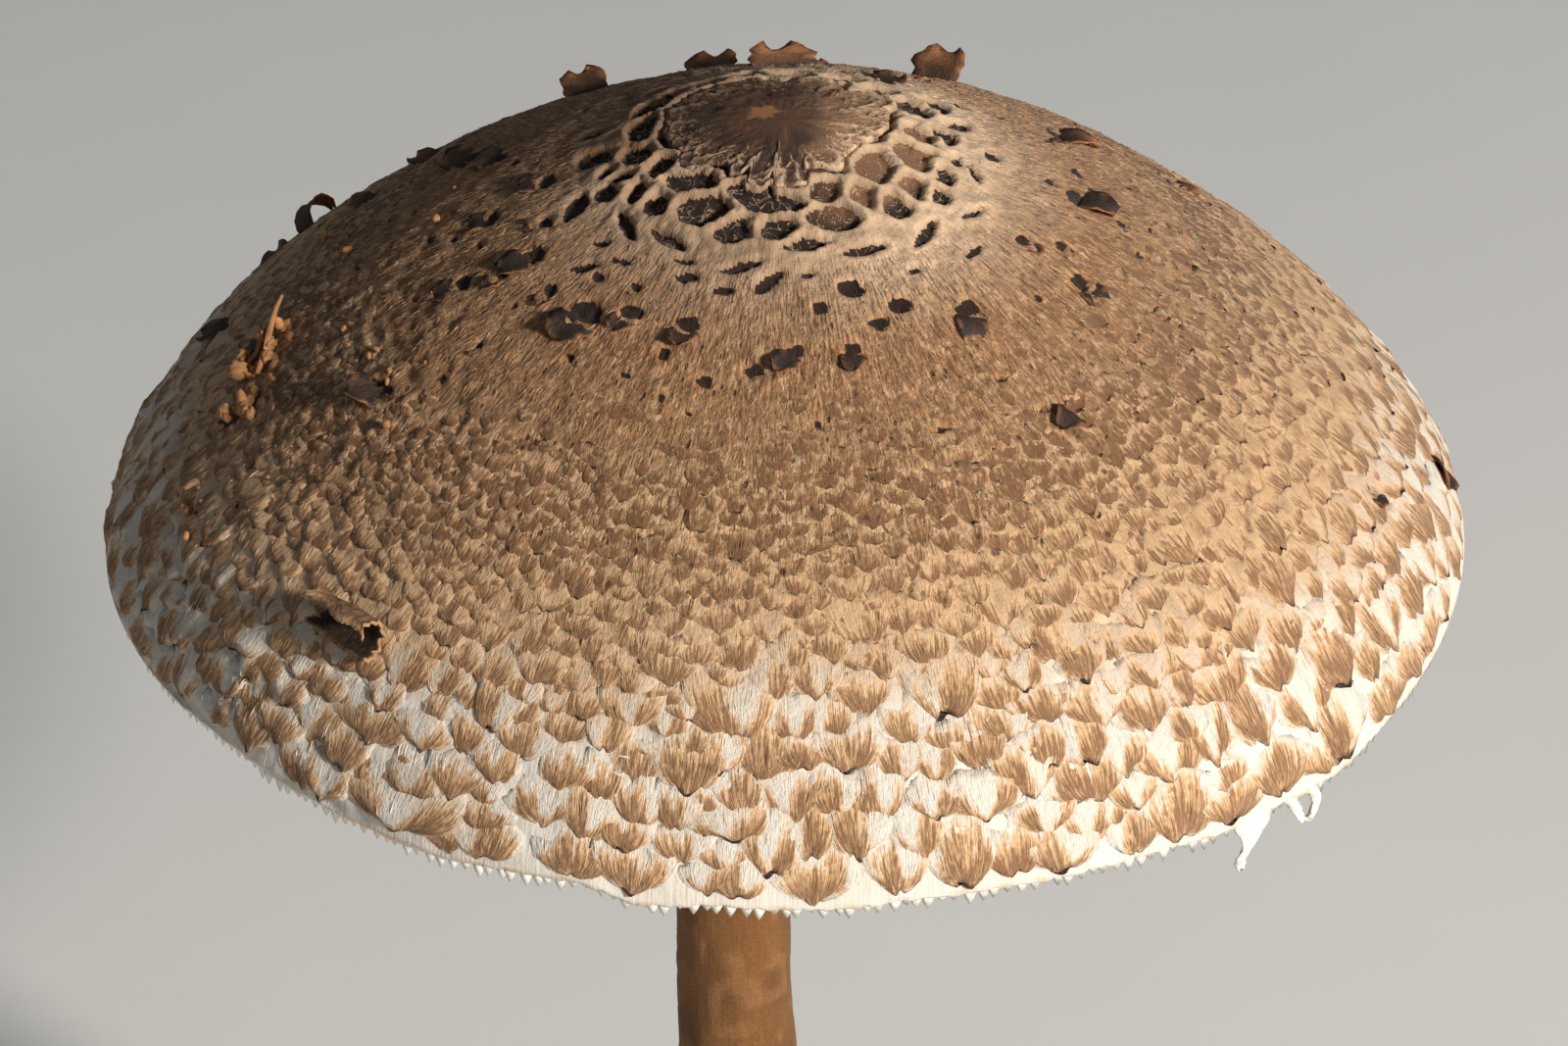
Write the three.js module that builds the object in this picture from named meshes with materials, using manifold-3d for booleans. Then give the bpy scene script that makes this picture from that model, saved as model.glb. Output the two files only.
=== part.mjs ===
// A parasol mushroom, picked and standing on its trimmed bulb.
// Millimetres, +Z up, origin under the middle of the cap at the level of the trimmed base.
import * as THREE from "three";
import { mergeVertices } from "three/addons/utils/BufferGeometryUtils.js";
import Module from "manifold-3d";

const wasm = await Module();
wasm.setup();

// Driving dimensions.
const capWidth = 150;
const capRise = 50; // from the margin's plane to the top of the umbo
const marginHeight = 150; // from the base to the margin's plane
const fleshAtCentre = 9;
const fleshAtMargin = 1.8;
const stemWidthTop = 11.6;
const bulbWidth = 37;
const fitGap = 0.3; // left between pieces that touch

// The cap.
const capRadius = capWidth / 2;
const sectors = 80; // round the cap, four for each cell of the net and two for each scale
const domePower = 1.51; // how pointed the dome is at its top
const domeShoulder = 0.69; // how steeply the dome falls at its margin
const marginWave = 0.5; // how far the margin rises and falls
const marginSag = 1.1; // how far it hangs lower by the torn scrap of veil
const sagBearing = -42; // degrees from +X
const sagSpread = 20;
const discRadius = 12.8; // the unbroken skin on the umbo
const discThickness = 0.9;
const discLonger = 1.9; // how much further the skin reaches at the back
const discLongerBearing = 100; // degrees from +X
const discBite = 3.4; // how much nearer the axis the skin ends where ridges have broken it up
const discBiteBearing = -20; // degrees from +X
const discBiteSpread = 30;
const discRagged = 1.2; // how deep the skin's edge is notched
const netRows = 4;
const netGap = 1.1; // from the skin to the middle of the first ridge
const netRadius = 29; // where the net ends
const netHeight = 0.8;
const netSectorsPerCell = 4;
const feltWidth = 6; // the plain felt between the net and the scales
const scaleRows = 8;
const scaleLift = 1.5; // the height of a scale's tip at the margin
const tipReach = 0.26; // how far a tip stands out, as a share of its row
const scaleFoot = 0.55; // the slope of a scale's end, measured along the cap
const scaleCrowding = 0.92; // below one, rows grow narrower towards the margin
const firstScaleSize = 0.35; // the height of the innermost scales, as a share of the outermost
const betweenTips = 0.42; // the height of a row's edge between two tips, as a share of a tip's

// The loose flakes of dark skin.
const flakeThickness = 0.75;
const flakeSunk = 1.6; // how far a flake's root is sunk in the flesh
const flakeCurl = 1.9; // the lean of a flake's outer half, as a multiple of its inner half's
const smallFlakes = 26;
const nearestFlake = 27; // from the axis
const flakeSpread = 24;

// The torn scrap of veil.
const scrapBearing = -47; // degrees from +X
const scrapThickness = 0.8;

// The hollow of the cap.
const hollowRadius = capRadius - fleshAtMargin;
const hollowRise = capRise - fleshAtCentre;
const hollowPower = 1.6;
const hollowShoulder = 0.66;
const liningShares = [0.95, 0.84, 0.68, 0.5, 0.3, 0.14]; // where the hollow and its lining bend, out to in

// The gills.
const gillPairs = 32; // one long and one short gill in each pair
const plateThickness = 0.9;
const gillEdgeRise = 31; // the height of the gill edges over the margin, near the stem
const gillEdgePower = 1.9;
const gillEdgeShoulder = 0.75;
const gillDrop = 0.9; // how far the gills reach below the margin
const gillInner = 11.5;
const gillOuterGap = 0.35;
const shortGillShare = 0.55; // where a short gill starts, as a share of the radius
const gillRootWidth = 1.1;
const gillEdgeWidth = 0.6;
const collarWidth = 2.6;
const collarDepth = 3.2;
const boreShiftEnd = 30; // beyond this radius nothing follows the stem's lean
const boreShiftSpan = 20;

// The stem.
const stemSides = 20;
const stemTopHeight = marginHeight + hollowRise - 1.1;
const stemBow = 5.2; // sideways, at the middle of the stem
const stemTopShift = -1.5;
const stemBandDepth = 0.14;
const bulbLump = 0.5;

// The ring round the stem.
const ringSides = 36;
const ringHeight = 114;
const ringRagged = 0.7;
const ringDroop = 0.8;

const TAU = 2 * Math.PI;

// A seeded draw between 0 and 1, the same on every run.
function seededDraw(seed) {
  let state = seed;
  return () => {
    state = (state + 0x6d2b79f5) | 0;
    let t = Math.imul(state ^ (state >>> 15), 1 | state);
    t = (t + Math.imul(t ^ (t >>> 7), 61 | t)) ^ t;
    return ((t ^ (t >>> 14)) >>> 0) / 4294967296;
  };
}

// A smooth wave round the axis that stays within -1 and 1.
function waveRound(angle, turns, phase) {
  return 0.6 * Math.sin(turns * angle + phase) + 0.4 * Math.sin((2 * turns + 1) * angle + 2.1 * phase);
}

function at(radius, angle, height) {
  return new THREE.Vector3(radius * Math.cos(angle), radius * Math.sin(angle), height);
}

// One ring of points, from a function of the angle.
function ringOf(count, pointAt) {
  return Array.from({ length: count }, (_, i) => pointAt((i / count) * TAU, i));
}

// A closed skin over rings of points. With two poles it closes on them, and without it joins its last
// ring to its first. A ring may have several times as many points as the next, and then its points fan
// out from the coarser ring's.
function closedSkin(rings, poles) {
  const starts = rings.map((ring, r) => rings.slice(0, r).reduce((sum, before) => sum + before.length, 0));
  const points = rings.flat();
  const faces = [];
  const bands = poles ? rings.length - 1 : rings.length;
  for (let r = 0; r < bands; r++) {
    const upper = (r + 1) % rings.length;
    const [low, high] = [starts[r], starts[upper]];
    const [lowCount, highCount] = [rings[r].length, rings[upper].length];
    const count = Math.min(lowCount, highCount);
    const [lowStep, highStep] = [lowCount / count, highCount / count];
    for (let i = 0; i < count; i++) {
      for (let j = 0; j < lowStep - 1; j++) {
        const from = i * lowStep + j;
        faces.push(low + from, high + i, low + from + 1);
      }
      for (let j = 0; j < highStep - 1; j++) {
        const from = i * highStep + j;
        faces.push(low + i, high + from, high + from + 1);
      }
      const [lowEnd, highEnd] = [i * lowStep + lowStep - 1, i * highStep + highStep - 1];
      const [lowNext, highNext] = [(lowEnd + 1) % lowCount, (highEnd + 1) % highCount];
      faces.push(low + lowEnd, high + highEnd, high + highNext);
      faces.push(low + lowEnd, high + highNext, low + lowNext);
    }
  }
  if (poles) {
    const first = points.push(poles[0]) - 1;
    const last = points.push(poles[1]) - 1;
    const [firstCount, lastCount] = [rings[0].length, rings.at(-1).length];
    const lastStart = starts.at(-1);
    for (let i = 0; i < firstCount; i++) faces.push(first, i, (i + 1) % firstCount);
    for (let i = 0; i < lastCount; i++) faces.push(last, lastStart + ((i + 1) % lastCount), lastStart + i);
  }
  return geometryOf(points, faces);
}

// A closed bar through sections of points, with flat ends.
function bar(sections) {
  const count = sections[0].length;
  const points = sections.flat();
  const faces = [];
  for (let s = 0; s < sections.length - 1; s++) {
    for (let i = 0; i < count; i++) {
      const next = (i + 1) % count;
      const [a, b] = [s * count + i, s * count + next];
      faces.push(a, b, b + count, a, b + count, a + count);
    }
  }
  const end = (sections.length - 1) * count;
  for (let i = 1; i < count - 1; i++) {
    faces.push(0, i + 1, i);
    faces.push(end, end + i, end + i + 1);
  }
  return geometryOf(points, faces);
}

function geometryOf(points, faces) {
  return new THREE.BufferGeometry().setFromPoints(points).setIndex(faces);
}

// A solid from a closed skin, whichever way round the skin was made.
function solidOf(geometry) {
  const merged = mergeVertices(geometry, 1e-4);
  const vertProperties = new Float32Array(merged.attributes.position.array);
  const triVerts = new Uint32Array(merged.index.array);
  const solid = new wasm.Manifold(new wasm.Mesh({ numProp: 3, vertProperties, triVerts }));
  if (solid.volume() > 0) return solid;
  triVerts.reverse();
  return new wasm.Manifold(new wasm.Mesh({ numProp: 3, vertProperties, triVerts }));
}

// Joins solids in one, and keeps its largest body.
function fused(solids) {
  const joined = solids.reduce((sum, solid) => sum.add(solid));
  return joined.decompose().sort((a, b) => b.volume() - a.volume())[0];
}

function meshOf(name, solid, material) {
  const made = solid.getMesh();
  const geometry = new THREE.BufferGeometry();
  geometry.setAttribute("position", new THREE.BufferAttribute(new Float32Array(made.vertProperties), 3));
  geometry.setIndex(new THREE.BufferAttribute(new Uint32Array(made.triVerts), 1));
  geometry.computeVertexNormals();
  const mesh = new THREE.Mesh(geometry, material);
  mesh.name = name;
  return mesh;
}

// The height of the dome over the margin's plane.
function domeHeight(radius) {
  const share = Math.min(radius / capRadius, 1);
  return capRise * Math.pow(Math.max(1 - Math.pow(share, domePower), 0), domeShoulder);
}

function hollowHeight(radius, outer, rise) {
  const share = Math.min(radius / outer, 1);
  return rise * Math.pow(Math.max(1 - Math.pow(share, hollowPower), 0), hollowShoulder);
}

// A bump that is 1 at a bearing and falls away on both sides of it, all three in degrees but the angle.
function bumpAt(angle, bearing, spread) {
  const away = THREE.MathUtils.euclideanModulo(THREE.MathUtils.radToDeg(angle) - bearing + 180, 360) - 180;
  return Math.exp(-Math.pow(away / spread, 2));
}

// The margin rises and falls gently and hangs lower by the torn scrap. Both die out towards the umbo.
function marginLift(radius, angle) {
  const sag = marginSag * bumpAt(angle, sagBearing, sagSpread);
  return Math.pow(radius / capRadius, 3) * (marginWave * waveRound(angle, 2, 0.7) - sag);
}

// The dome measured along its own curve, from the umbo to the margin.
const domeCurve = (() => {
  const steps = 600;
  const lengths = [0];
  const radii = [0];
  for (let i = 1; i <= steps; i++) {
    const radius = capRadius * Math.sin(((i / steps) * Math.PI) / 2);
    const rise = domeHeight(radii[i - 1]) - domeHeight(radius);
    lengths.push(lengths[i - 1] + Math.hypot(radius - radii[i - 1], rise));
    radii.push(radius);
  }
  return { lengths, radii, total: lengths[steps] };
})();

function radiusAlong(length) {
  const { lengths, radii, total } = domeCurve;
  if (length >= total) return capRadius;
  const i = lengths.findIndex((l) => l > length);
  const share = (length - lengths[i - 1]) / (lengths[i] - lengths[i - 1]);
  return radii[i - 1] + share * (radii[i] - radii[i - 1]);
}

function lengthAt(radius) {
  const { lengths, radii } = domeCurve;
  const i = Math.max(radii.findIndex((r) => r >= radius), 1);
  const share = (radius - radii[i - 1]) / (radii[i] - radii[i - 1]);
  return lengths[i - 1] + share * (lengths[i] - lengths[i - 1]);
}

// A point of the dome at a length along its curve, lifted off it along its normal.
function domePoint(length, angle, lift) {
  const radius = radiusAlong(length);
  const step = 0.4;
  const inner = radiusAlong(Math.max(length - step, 0));
  const outer = radiusAlong(Math.min(length + step, domeCurve.total));
  const run = outer - inner;
  const fall = domeHeight(inner) - domeHeight(outer);
  const size = Math.hypot(run, fall);
  const height = marginHeight + domeHeight(radius) + marginLift(radius, angle);
  return at(radius + (lift * fall) / size, angle, height + (lift * run) / size);
}

// How far from the axis the unbroken skin on the umbo ends.
function discEdge(angle) {
  const longer = discLonger * Math.cos(angle - THREE.MathUtils.degToRad(discLongerBearing));
  return discRadius + longer - discBite * bumpAt(angle, discBiteBearing, discBiteSpread);
}

// Where the net starts, as a length along the dome.
function netStart(angle) {
  return lengthAt(discEdge(angle)) + netGap;
}

// The net of ridges left round the umbo where the dark skin has cracked: low floors between raised walls.
function netRings(end) {
  const rings = [];
  const draw = seededDraw(11);
  for (let row = 0; row < netRows; row++) {
    const shift = row % 2 ? netSectorsPerCell / 2 : 0;
    const floors = ringOf(sectors, () => 0.25 * (draw() - 0.5));
    const level = (share, wall) =>
      ringOf(sectors, (angle, i) => {
        const onWall = wall || (i + shift) % netSectorsPerCell === 0;
        const start = netStart(angle);
        const sway = row + share > 0 ? 0.5 * waveRound(angle, 7, row * 1.9 + share) : 0;
        const length = start + ((row + share) / netRows) * (end - start) + sway;
        return domePoint(length, angle, onWall ? netHeight : floors[i]);
      });
    rings.push(level(0, true), level(0.3, false), level(0.78, false));
  }
  return rings;
}

// Rows of scales that overlap like shingles, small near the felt and large at the margin.
function scaleRings(start) {
  const rings = [];
  const draw = seededDraw(29);
  const span = domeCurve.total - start;
  const startOf = (row) => start + span * Math.pow(row / scaleRows, scaleCrowding);
  for (let row = 0; row < scaleRows; row++) {
    const end = startOf(row + 1);
    const width = end - startOf(row);
    const size = firstScaleSize + ((1 - firstScaleSize) * (row + 1)) / scaleRows;
    const last = row === scaleRows - 1;
    const places = ringOf(sectors, (angle, i) => {
      const tip = (i + row) % 2 === 0;
      const jitter = 0.24 * width * (draw() - 0.5);
      const reach = last ? (tip ? -0.12 : -0.42) : tip ? tipReach : -tipReach;
      return {
        length: end + reach * width + (last ? 0.5 : 1) * jitter,
        turn: angle + (0.4 * (draw() - 0.5) * TAU) / sectors,
        lift: size * scaleLift * (tip ? 1 : betweenTips) * (0.75 + 0.5 * draw()),
      };
    });
    rings.push(places.map(({ length, turn, lift }) => domePoint(length - scaleFoot, turn, lift)));
    rings.push(places.map(({ length, turn }) => domePoint(length, turn, 0)));
  }
  return rings;
}

function capBody() {
  const netEnd = lengthAt(netRadius);
  const scaleStart = netEnd + feltWidth;
  const smooth = (length, lift) => ringOf(sectors, (angle) => domePoint(length, angle, lift));
  const rings = [
    ringOf(sectors, (angle) => domePoint(netStart(angle) * 0.5, angle, 0)),
    ringOf(sectors, (angle) => domePoint(netStart(angle) - netHeight, angle, 0)),
    ...netRings(netEnd),
    smooth(netEnd, netHeight * 0.6),
    smooth(scaleStart, 0),
    ...scaleRings(scaleStart),
    ringOf(sectors, (angle) => at(capRadius, angle, marginHeight + marginLift(capRadius, angle))),
    ringOf(sectors, (angle) => at(hollowRadius, angle, marginHeight + marginLift(capRadius, angle))),
  ];
  for (const share of liningShares) {
    const radius = hollowRadius * share;
    const height = marginHeight + hollowHeight(radius, hollowRadius, hollowRise);
    rings.push(ringOf(sectors, (angle) => at(radius, angle, height + marginLift(radius, angle))));
  }
  const top = at(0, 0, marginHeight + capRise);
  const under = at(0, 0, marginHeight + hollowRise);
  return solidOf(closedSkin(rings, [top, under]));
}

// A thin chip of dark skin that has come loose and curls up off the cap, its root sunk in the flesh.
function flake(radius, degrees, { long, wide, lean, turn }) {
  const angle = THREE.MathUtils.degToRad(degrees);
  const length = lengthAt(radius);
  const root = domePoint(length, angle, 0);
  const normal = domePoint(length, angle, 1).sub(root).normalize();
  const across = new THREE.Vector3(-Math.sin(angle), Math.cos(angle), 0).applyAxisAngle(normal, turn);
  const up = normal.clone().applyAxisAngle(across, lean);
  const curl = normal.clone().applyAxisAngle(across, lean * flakeCurl);
  const section = (centre, direction, width) => {
    const face = new THREE.Vector3().crossVectors(across, direction).setLength(flakeThickness / 2);
    const side = across.clone().multiplyScalar(width / 2);
    return [
      centre.clone().add(side).add(face),
      centre.clone().sub(side).add(face),
      centre.clone().sub(side).sub(face),
      centre.clone().add(side).sub(face),
    ];
  };
  const middle = root.clone().addScaledVector(up, long * 0.55);
  return solidOf(
    bar([
      section(root.clone().addScaledVector(up, -flakeSunk), up, wide * 0.9),
      section(middle, up, wide),
      section(middle.clone().addScaledVector(curl, long * 0.45), curl, wide * 0.62),
    ]),
  );
}

// The flakes that stand out most, each at its distance from the axis and its bearing from +X.
const largeFlakes = [
  [66, 226, { long: 6.5, wide: 5.5, lean: 0.9, turn: 0.3 }],
  [57, 188, { long: 5.5, wide: 3.4, lean: 0.6, turn: 1.1 }],
  [61, 190, { long: 4.5, wide: 3.4, lean: 0.9, turn: 0.2 }],
  [63, 150, { long: 8, wide: 3.6, lean: -0.4, turn: 1.3 }],
  [63, 170, { long: 5, wide: 3.4, lean: 0.8, turn: 0.4 }],
  [48, 208, { long: 4.6, wide: 4, lean: 0.5, turn: 0.5 }],
  [32, 228, { long: 4, wide: 5.2, lean: 0.9, turn: 0.2 }],
  [40, 65, { long: 4, wide: 5, lean: 0.5, turn: 0.1 }],
  [30, 87, { long: 3.6, wide: 4.6, lean: 0.5, turn: 0.2 }],
  [38, 104, { long: 3.8, wide: 5, lean: 0.5, turn: 0 }],
  [43, 121, { long: 3.8, wide: 4.4, lean: 0.6, turn: 0.3 }],
  [40, 154, { long: 3.6, wide: 4, lean: 0.8, turn: 0.3 }],
  [37, 200, { long: 3.4, wide: 3, lean: 0.9, turn: 0.3 }],
  [29, 206, { long: 3.4, wide: 3.4, lean: 0.9, turn: 0.2 }],
  [31, 308, { long: 3.2, wide: 3, lean: 0.9, turn: 0.5 }],
  [32, 0, { long: 3.6, wide: 3.4, lean: 0.8, turn: 0.3 }],
  [43, 315, { long: 3, wide: 3, lean: 0.9, turn: 1.2 }],
  [37, 33, { long: 3.6, wide: 4, lean: 0.5, turn: 0 }],
  [49, 29, { long: 3.4, wide: 3, lean: 0.6, turn: 0.3 }],
  [72, 0, { long: 4.4, wide: 3.6, lean: 0.6, turn: 1.3 }],
];

function flakes() {
  const draw = seededDraw(73);
  const small = Array.from({ length: smallFlakes }, () => {
    const radius = nearestFlake + flakeSpread * Math.pow(draw(), 1.5);
    const long = 2.4 + draw();
    const wide = 2 + 1.2 * draw();
    const lean = 0.5 + 0.6 * draw();
    const turn = draw() - 0.5;
    return [radius, 360 * draw(), { long, wide, lean, turn }];
  });
  return [...largeFlakes, ...small].map((place) => flake(...place));
}

// The torn scrap of veil that hangs from the margin: a flap and two strips.
function veilScrap() {
  const bearing = THREE.MathUtils.degToRad(scrapBearing);
  const strip = (shift, points, widths) => {
    const angle = bearing + shift / capRadius;
    const out = at(1, angle, 0);
    const side = at(1, angle + Math.PI / 2, 0);
    const height = marginHeight + marginLift(capRadius, angle);
    const section = ([outward, slide, drop], i) => {
      const centre = at(capRadius + outward, angle, height + drop).addScaledVector(side, slide);
      const corner = (across, thick) =>
        centre
          .clone()
          .addScaledVector(side, (across * widths[i]) / 2)
          .addScaledVector(out, (thick * scrapThickness) / 2);
      return [corner(1, 1), corner(-1, 1), corner(-1, -1), corner(1, -1)];
    };
    return solidOf(bar(points.map(section)));
  };
  return [
    strip(-2, [[-1, 0, 1.2], [-0.2, -0.6, -1.6], [0.2, -2.2, -3.4], [0, -2.6, -6]], [6, 4, 1.4, 0.9]),
    strip(3.4, [[-1, 0, 1.2], [-0.2, 0.3, -1.4], [0, 0.8, -3.8]], [1.6, 1.2, 1]),
    strip(6, [[-1, 0, 1.2], [0, 0.6, -1.6], [0.1, 0.2, -3.4]], [1.6, 1.3, 1.2]),
  ];
}

// The dark skin left whole on the umbo, with a ragged edge.
function disc() {
  const count = 44;
  const draw = seededDraw(5);
  const edge = ringOf(count, (angle, i) => discEdge(angle) - discRagged * (i % 2) * draw());
  const level = (share, lift) =>
    ringOf(count, (angle, i) => domePoint(lengthAt(edge[i] * share), angle, lift));
  const top = fitGap + discThickness;
  const upper = [level(0.4, top), level(0.75, top), level(1, top - 0.2)];
  const lower = [level(1, fitGap), level(0.75, fitGap), level(0.4, fitGap)];
  const poles = [top, fitGap].map((lift) => at(0, 0, marginHeight + capRise + lift));
  return solidOf(closedSkin([...upper, ...lower], poles));
}

// The gills hang from a thin plate that lines the cap's hollow, and stop short of the stem at a collar.
const plateRadius = hollowRadius - fitGap - 0.1;
const plateRise = hollowRise - fitGap - 0.4;
const stemTopRadius = stemWidthTop / 2;

// The height of the plate's upper face over the margin, and of the gills' free edges.
function plateHeight(radius) {
  return hollowHeight(radius, plateRadius, plateRise);
}

function gillEdgeHeight(radius) {
  const share = Math.min(radius / plateRadius, 1);
  const dome = gillEdgeRise * Math.pow(Math.max(1 - Math.pow(share, gillEdgePower), 0), gillEdgeShoulder);
  return dome - gillDrop * Math.pow(share, 4);
}

// The bore follows the stem, which leans a little off the cap's axis.
function underCap(radius, angle, height) {
  const shift = stemTopShift * THREE.MathUtils.clamp((boreShiftEnd - radius) / boreShiftSpan, 0, 1);
  const place = at(radius, angle, marginHeight + height + marginLift(radius, angle));
  return place.add(new THREE.Vector3(shift, 0, 0));
}

// A ring of points across every gill, four to a gill: its two feet on the plate and its edge's two sides.
function gillRing(radius, floor, edge, longGills, shortGills) {
  const gillCount = 2 * gillPairs;
  const pitch = (TAU * radius) / gillCount;
  const points = [];
  for (let g = 0; g < gillCount; g++) {
    const angle = (g / gillCount) * TAU;
    const stands = g % 2 ? shortGills : longGills;
    const narrow = Math.min(1, (g % 2 ? 0.35 : 0.9) * (pitch / gillRootWidth));
    const [foot, top] = [gillRootWidth * narrow, gillEdgeWidth * Math.min(narrow * 1.5, 1)];
    const low = stands ? edge : floor;
    points.push(
      underCap(radius, angle - foot / 2 / radius, floor),
      underCap(radius, angle - top / 2 / radius, low),
      underCap(radius, angle + top / 2 / radius, low),
      underCap(radius, angle + foot / 2 / radius, floor),
    );
  }
  return points;
}

function gills() {
  const gillCount = 2 * gillPairs;
  const floorAt = (radius) => plateHeight(radius) - plateThickness;
  const bore = stemTopRadius + fitGap + 0.1;
  const collarEdge = bore + collarWidth;
  const level = (radius, height) => ringOf(gillCount, (angle) => underCap(radius, angle, height));
  const upper = [1, ...liningShares].map((share) => {
    const radius = plateRadius * share;
    return level(radius, share === 1 ? 0.2 : plateHeight(radius));
  });
  const rimFloor = -gillDrop * 0.3;
  const outer = plateRadius - gillOuterGap;
  const across = [
    gillRing(plateRadius - 0.05, rimFloor, rimFloor, false, false),
    gillRing(outer, rimFloor, gillEdgeHeight(outer), true, true),
    ...[0.84, shortGillShare + 0.06].map((share) => {
      const radius = plateRadius * share;
      return gillRing(radius, floorAt(radius), gillEdgeHeight(radius), true, true);
    }),
    ...[shortGillShare - 0.04, 0.3].map((share) => {
      const radius = plateRadius * share;
      return gillRing(radius, floorAt(radius), gillEdgeHeight(radius), true, false);
    }),
    gillRing(gillInner, floorAt(gillInner), gillEdgeHeight(gillInner) + 2.5, true, false),
  ];
  const collar = [
    level(collarEdge, floorAt(collarEdge) - 0.3),
    level(collarEdge, floorAt(collarEdge) - collarDepth),
    level(bore, floorAt(bore) - collarDepth),
    level(bore, plateHeight(bore) - 0.2),
  ];
  return solidOf(closedSkin([...upper.reverse(), ...across, ...collar], null));
}

// The stem bows gently to one side between its base and the cap.
function stemCentre(height) {
  const share = height / stemTopHeight;
  return stemTopShift * share - stemBow * Math.pow(Math.sin(Math.PI * share), 2);
}

const stemShape = [
  [0, bulbWidth * 0.44],
  [2.5, bulbWidth * 0.48],
  [8, bulbWidth / 2],
  [15, bulbWidth * 0.465],
  [22, bulbWidth * 0.36],
  [30, bulbWidth * 0.265],
  [40, 7.9],
  [60, 7.1],
  [90, 6.5],
  [130, 6.1],
  [stemTopHeight, stemTopRadius],
];

function stemRadius(height) {
  const i = Math.max(stemShape.findIndex(([h]) => h >= height), 1);
  const [[lowHeight, low], [highHeight, high]] = [stemShape[i - 1], stemShape[i]];
  return low + ((high - low) * (height - lowHeight)) / (highHeight - lowHeight);
}

function stem() {
  const heights = [0, 2.5, 8, 15, 22, 30, 36];
  for (let height = 42; height < stemTopHeight - 4; height += 7) heights.push(height);
  heights.push(stemTopHeight);
  const smoothTop = ringHeight - 6; // bands only below the ring
  const rings = heights.map((height, row) =>
    ringOf(stemSides, (angle, i) => {
      const banded = height > 34 && height < smoothTop;
      const zigzag = banded ? stemBandDepth * ((i + row) % 2 ? 1 : -1) : 0;
      const lumps = bulbLump * waveRound(angle, 2, height * 0.05) * Math.min(height / 6, 1);
      const lumpy = height < 30 ? lumps : 0;
      const radius = stemRadius(height) + zigzag + lumpy;
      return at(radius, angle, height).add(new THREE.Vector3(stemCentre(height), 0, 0));
    }),
  );
  const foot = new THREE.Vector3(stemCentre(0), 0, 0);
  const top = new THREE.Vector3(stemCentre(stemTopHeight), 0, stemTopHeight);
  return solidOf(closedSkin(rings, [foot, top]));
}

// The loose double ring: a sleeve round the stem with two ragged lips.
function ring() {
  const sleeve = fitGap + 0.15;
  const outline = [
    [sleeve, 0, 0],
    [2, -0.5, 0],
    [2.7, 4, 0.2],
    [6, 5.2, 0.5],
    [8.6, 4.2, 1],
    [9, 5.6, 1],
    [7.2, 7.4, 0.6],
    [9.6, 9, 1],
    [9.3, 10.3, 1],
    [6, 11.6, 0.5],
    [2.4, 13.8, 0.2],
    [1.5, 17, 0],
    [sleeve, 17.2, 0],
  ];
  const draw = seededDraw(41);
  const rags = ringOf(ringSides, (angle, i) => waveRound(angle, 3, 1.3) + (i % 2 ? 1 : -1) * 0.5 * draw());
  const rings = outline.map(([out, up, loose]) =>
    ringOf(ringSides, (angle, i) => {
      const height = ringHeight + up;
      const radius = stemRadius(height) + out + loose * ringRagged * rags[i];
      const droop = loose * ringDroop * waveRound(angle, 2, 2.2);
      return at(radius, angle, height + droop).add(new THREE.Vector3(stemCentre(height), 0, 0));
    }),
  );
  return solidOf(closedSkin(rings, null));
}

const material = (color, roughness) => new THREE.MeshStandardMaterial({ color, roughness, metalness: 0 });
const feltTan = material(0xb98f68, 0.95);
const skinBrown = material(0x46322a, 0.85);
const gillCream = material(0xe9dfca, 0.9);
const stemBrown = material(0x8a5c36, 0.9);
const ringWhite = material(0xe2d6bf, 0.95);

const mushroom = new THREE.Group();
mushroom.add(
  meshOf("cap", fused([capBody(), ...flakes(), ...veilScrap()]), feltTan),
  meshOf("cap_disc", disc(), skinBrown),
  meshOf("gills", gills(), gillCream),
  meshOf("stem", stem(), stemBrown),
  meshOf("ring", ring(), ringWhite),
);

// The origin goes under the middle of the whole mushroom's box.
const box = new THREE.Box3().setFromObject(mushroom, true);
const middle = box.getCenter(new THREE.Vector3());
mushroom.position.set(-middle.x, -middle.y, -box.min.z);

export default mushroom;
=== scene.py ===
# A parasol mushroom on a pale floor: felted cap with torn scales, dark umbo, gills, stem and ring.
import bpy
import math
import numpy as np
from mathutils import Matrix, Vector


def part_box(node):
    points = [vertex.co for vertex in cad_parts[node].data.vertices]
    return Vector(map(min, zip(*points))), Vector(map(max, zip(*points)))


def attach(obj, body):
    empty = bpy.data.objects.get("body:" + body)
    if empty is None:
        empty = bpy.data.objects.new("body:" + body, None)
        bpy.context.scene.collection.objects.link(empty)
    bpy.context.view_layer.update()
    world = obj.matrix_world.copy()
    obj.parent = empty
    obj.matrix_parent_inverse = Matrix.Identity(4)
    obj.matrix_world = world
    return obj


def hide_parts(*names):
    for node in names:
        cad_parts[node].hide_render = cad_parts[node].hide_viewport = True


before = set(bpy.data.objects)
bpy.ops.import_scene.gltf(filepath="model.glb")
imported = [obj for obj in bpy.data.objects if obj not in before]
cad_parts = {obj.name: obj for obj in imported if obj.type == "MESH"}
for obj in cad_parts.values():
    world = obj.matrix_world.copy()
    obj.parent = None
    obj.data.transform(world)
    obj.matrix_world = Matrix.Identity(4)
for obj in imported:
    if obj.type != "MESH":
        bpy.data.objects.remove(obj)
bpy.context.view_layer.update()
mm = 0.001
fullTurn = 2 * math.pi
gillsLow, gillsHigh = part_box("gills")
axisX = (gillsLow.x + gillsHigh.x) / 2 / mm  # the cap's axis, in millimetres
axisY = (gillsLow.y + gillsHigh.y) / 2 / mm


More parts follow.
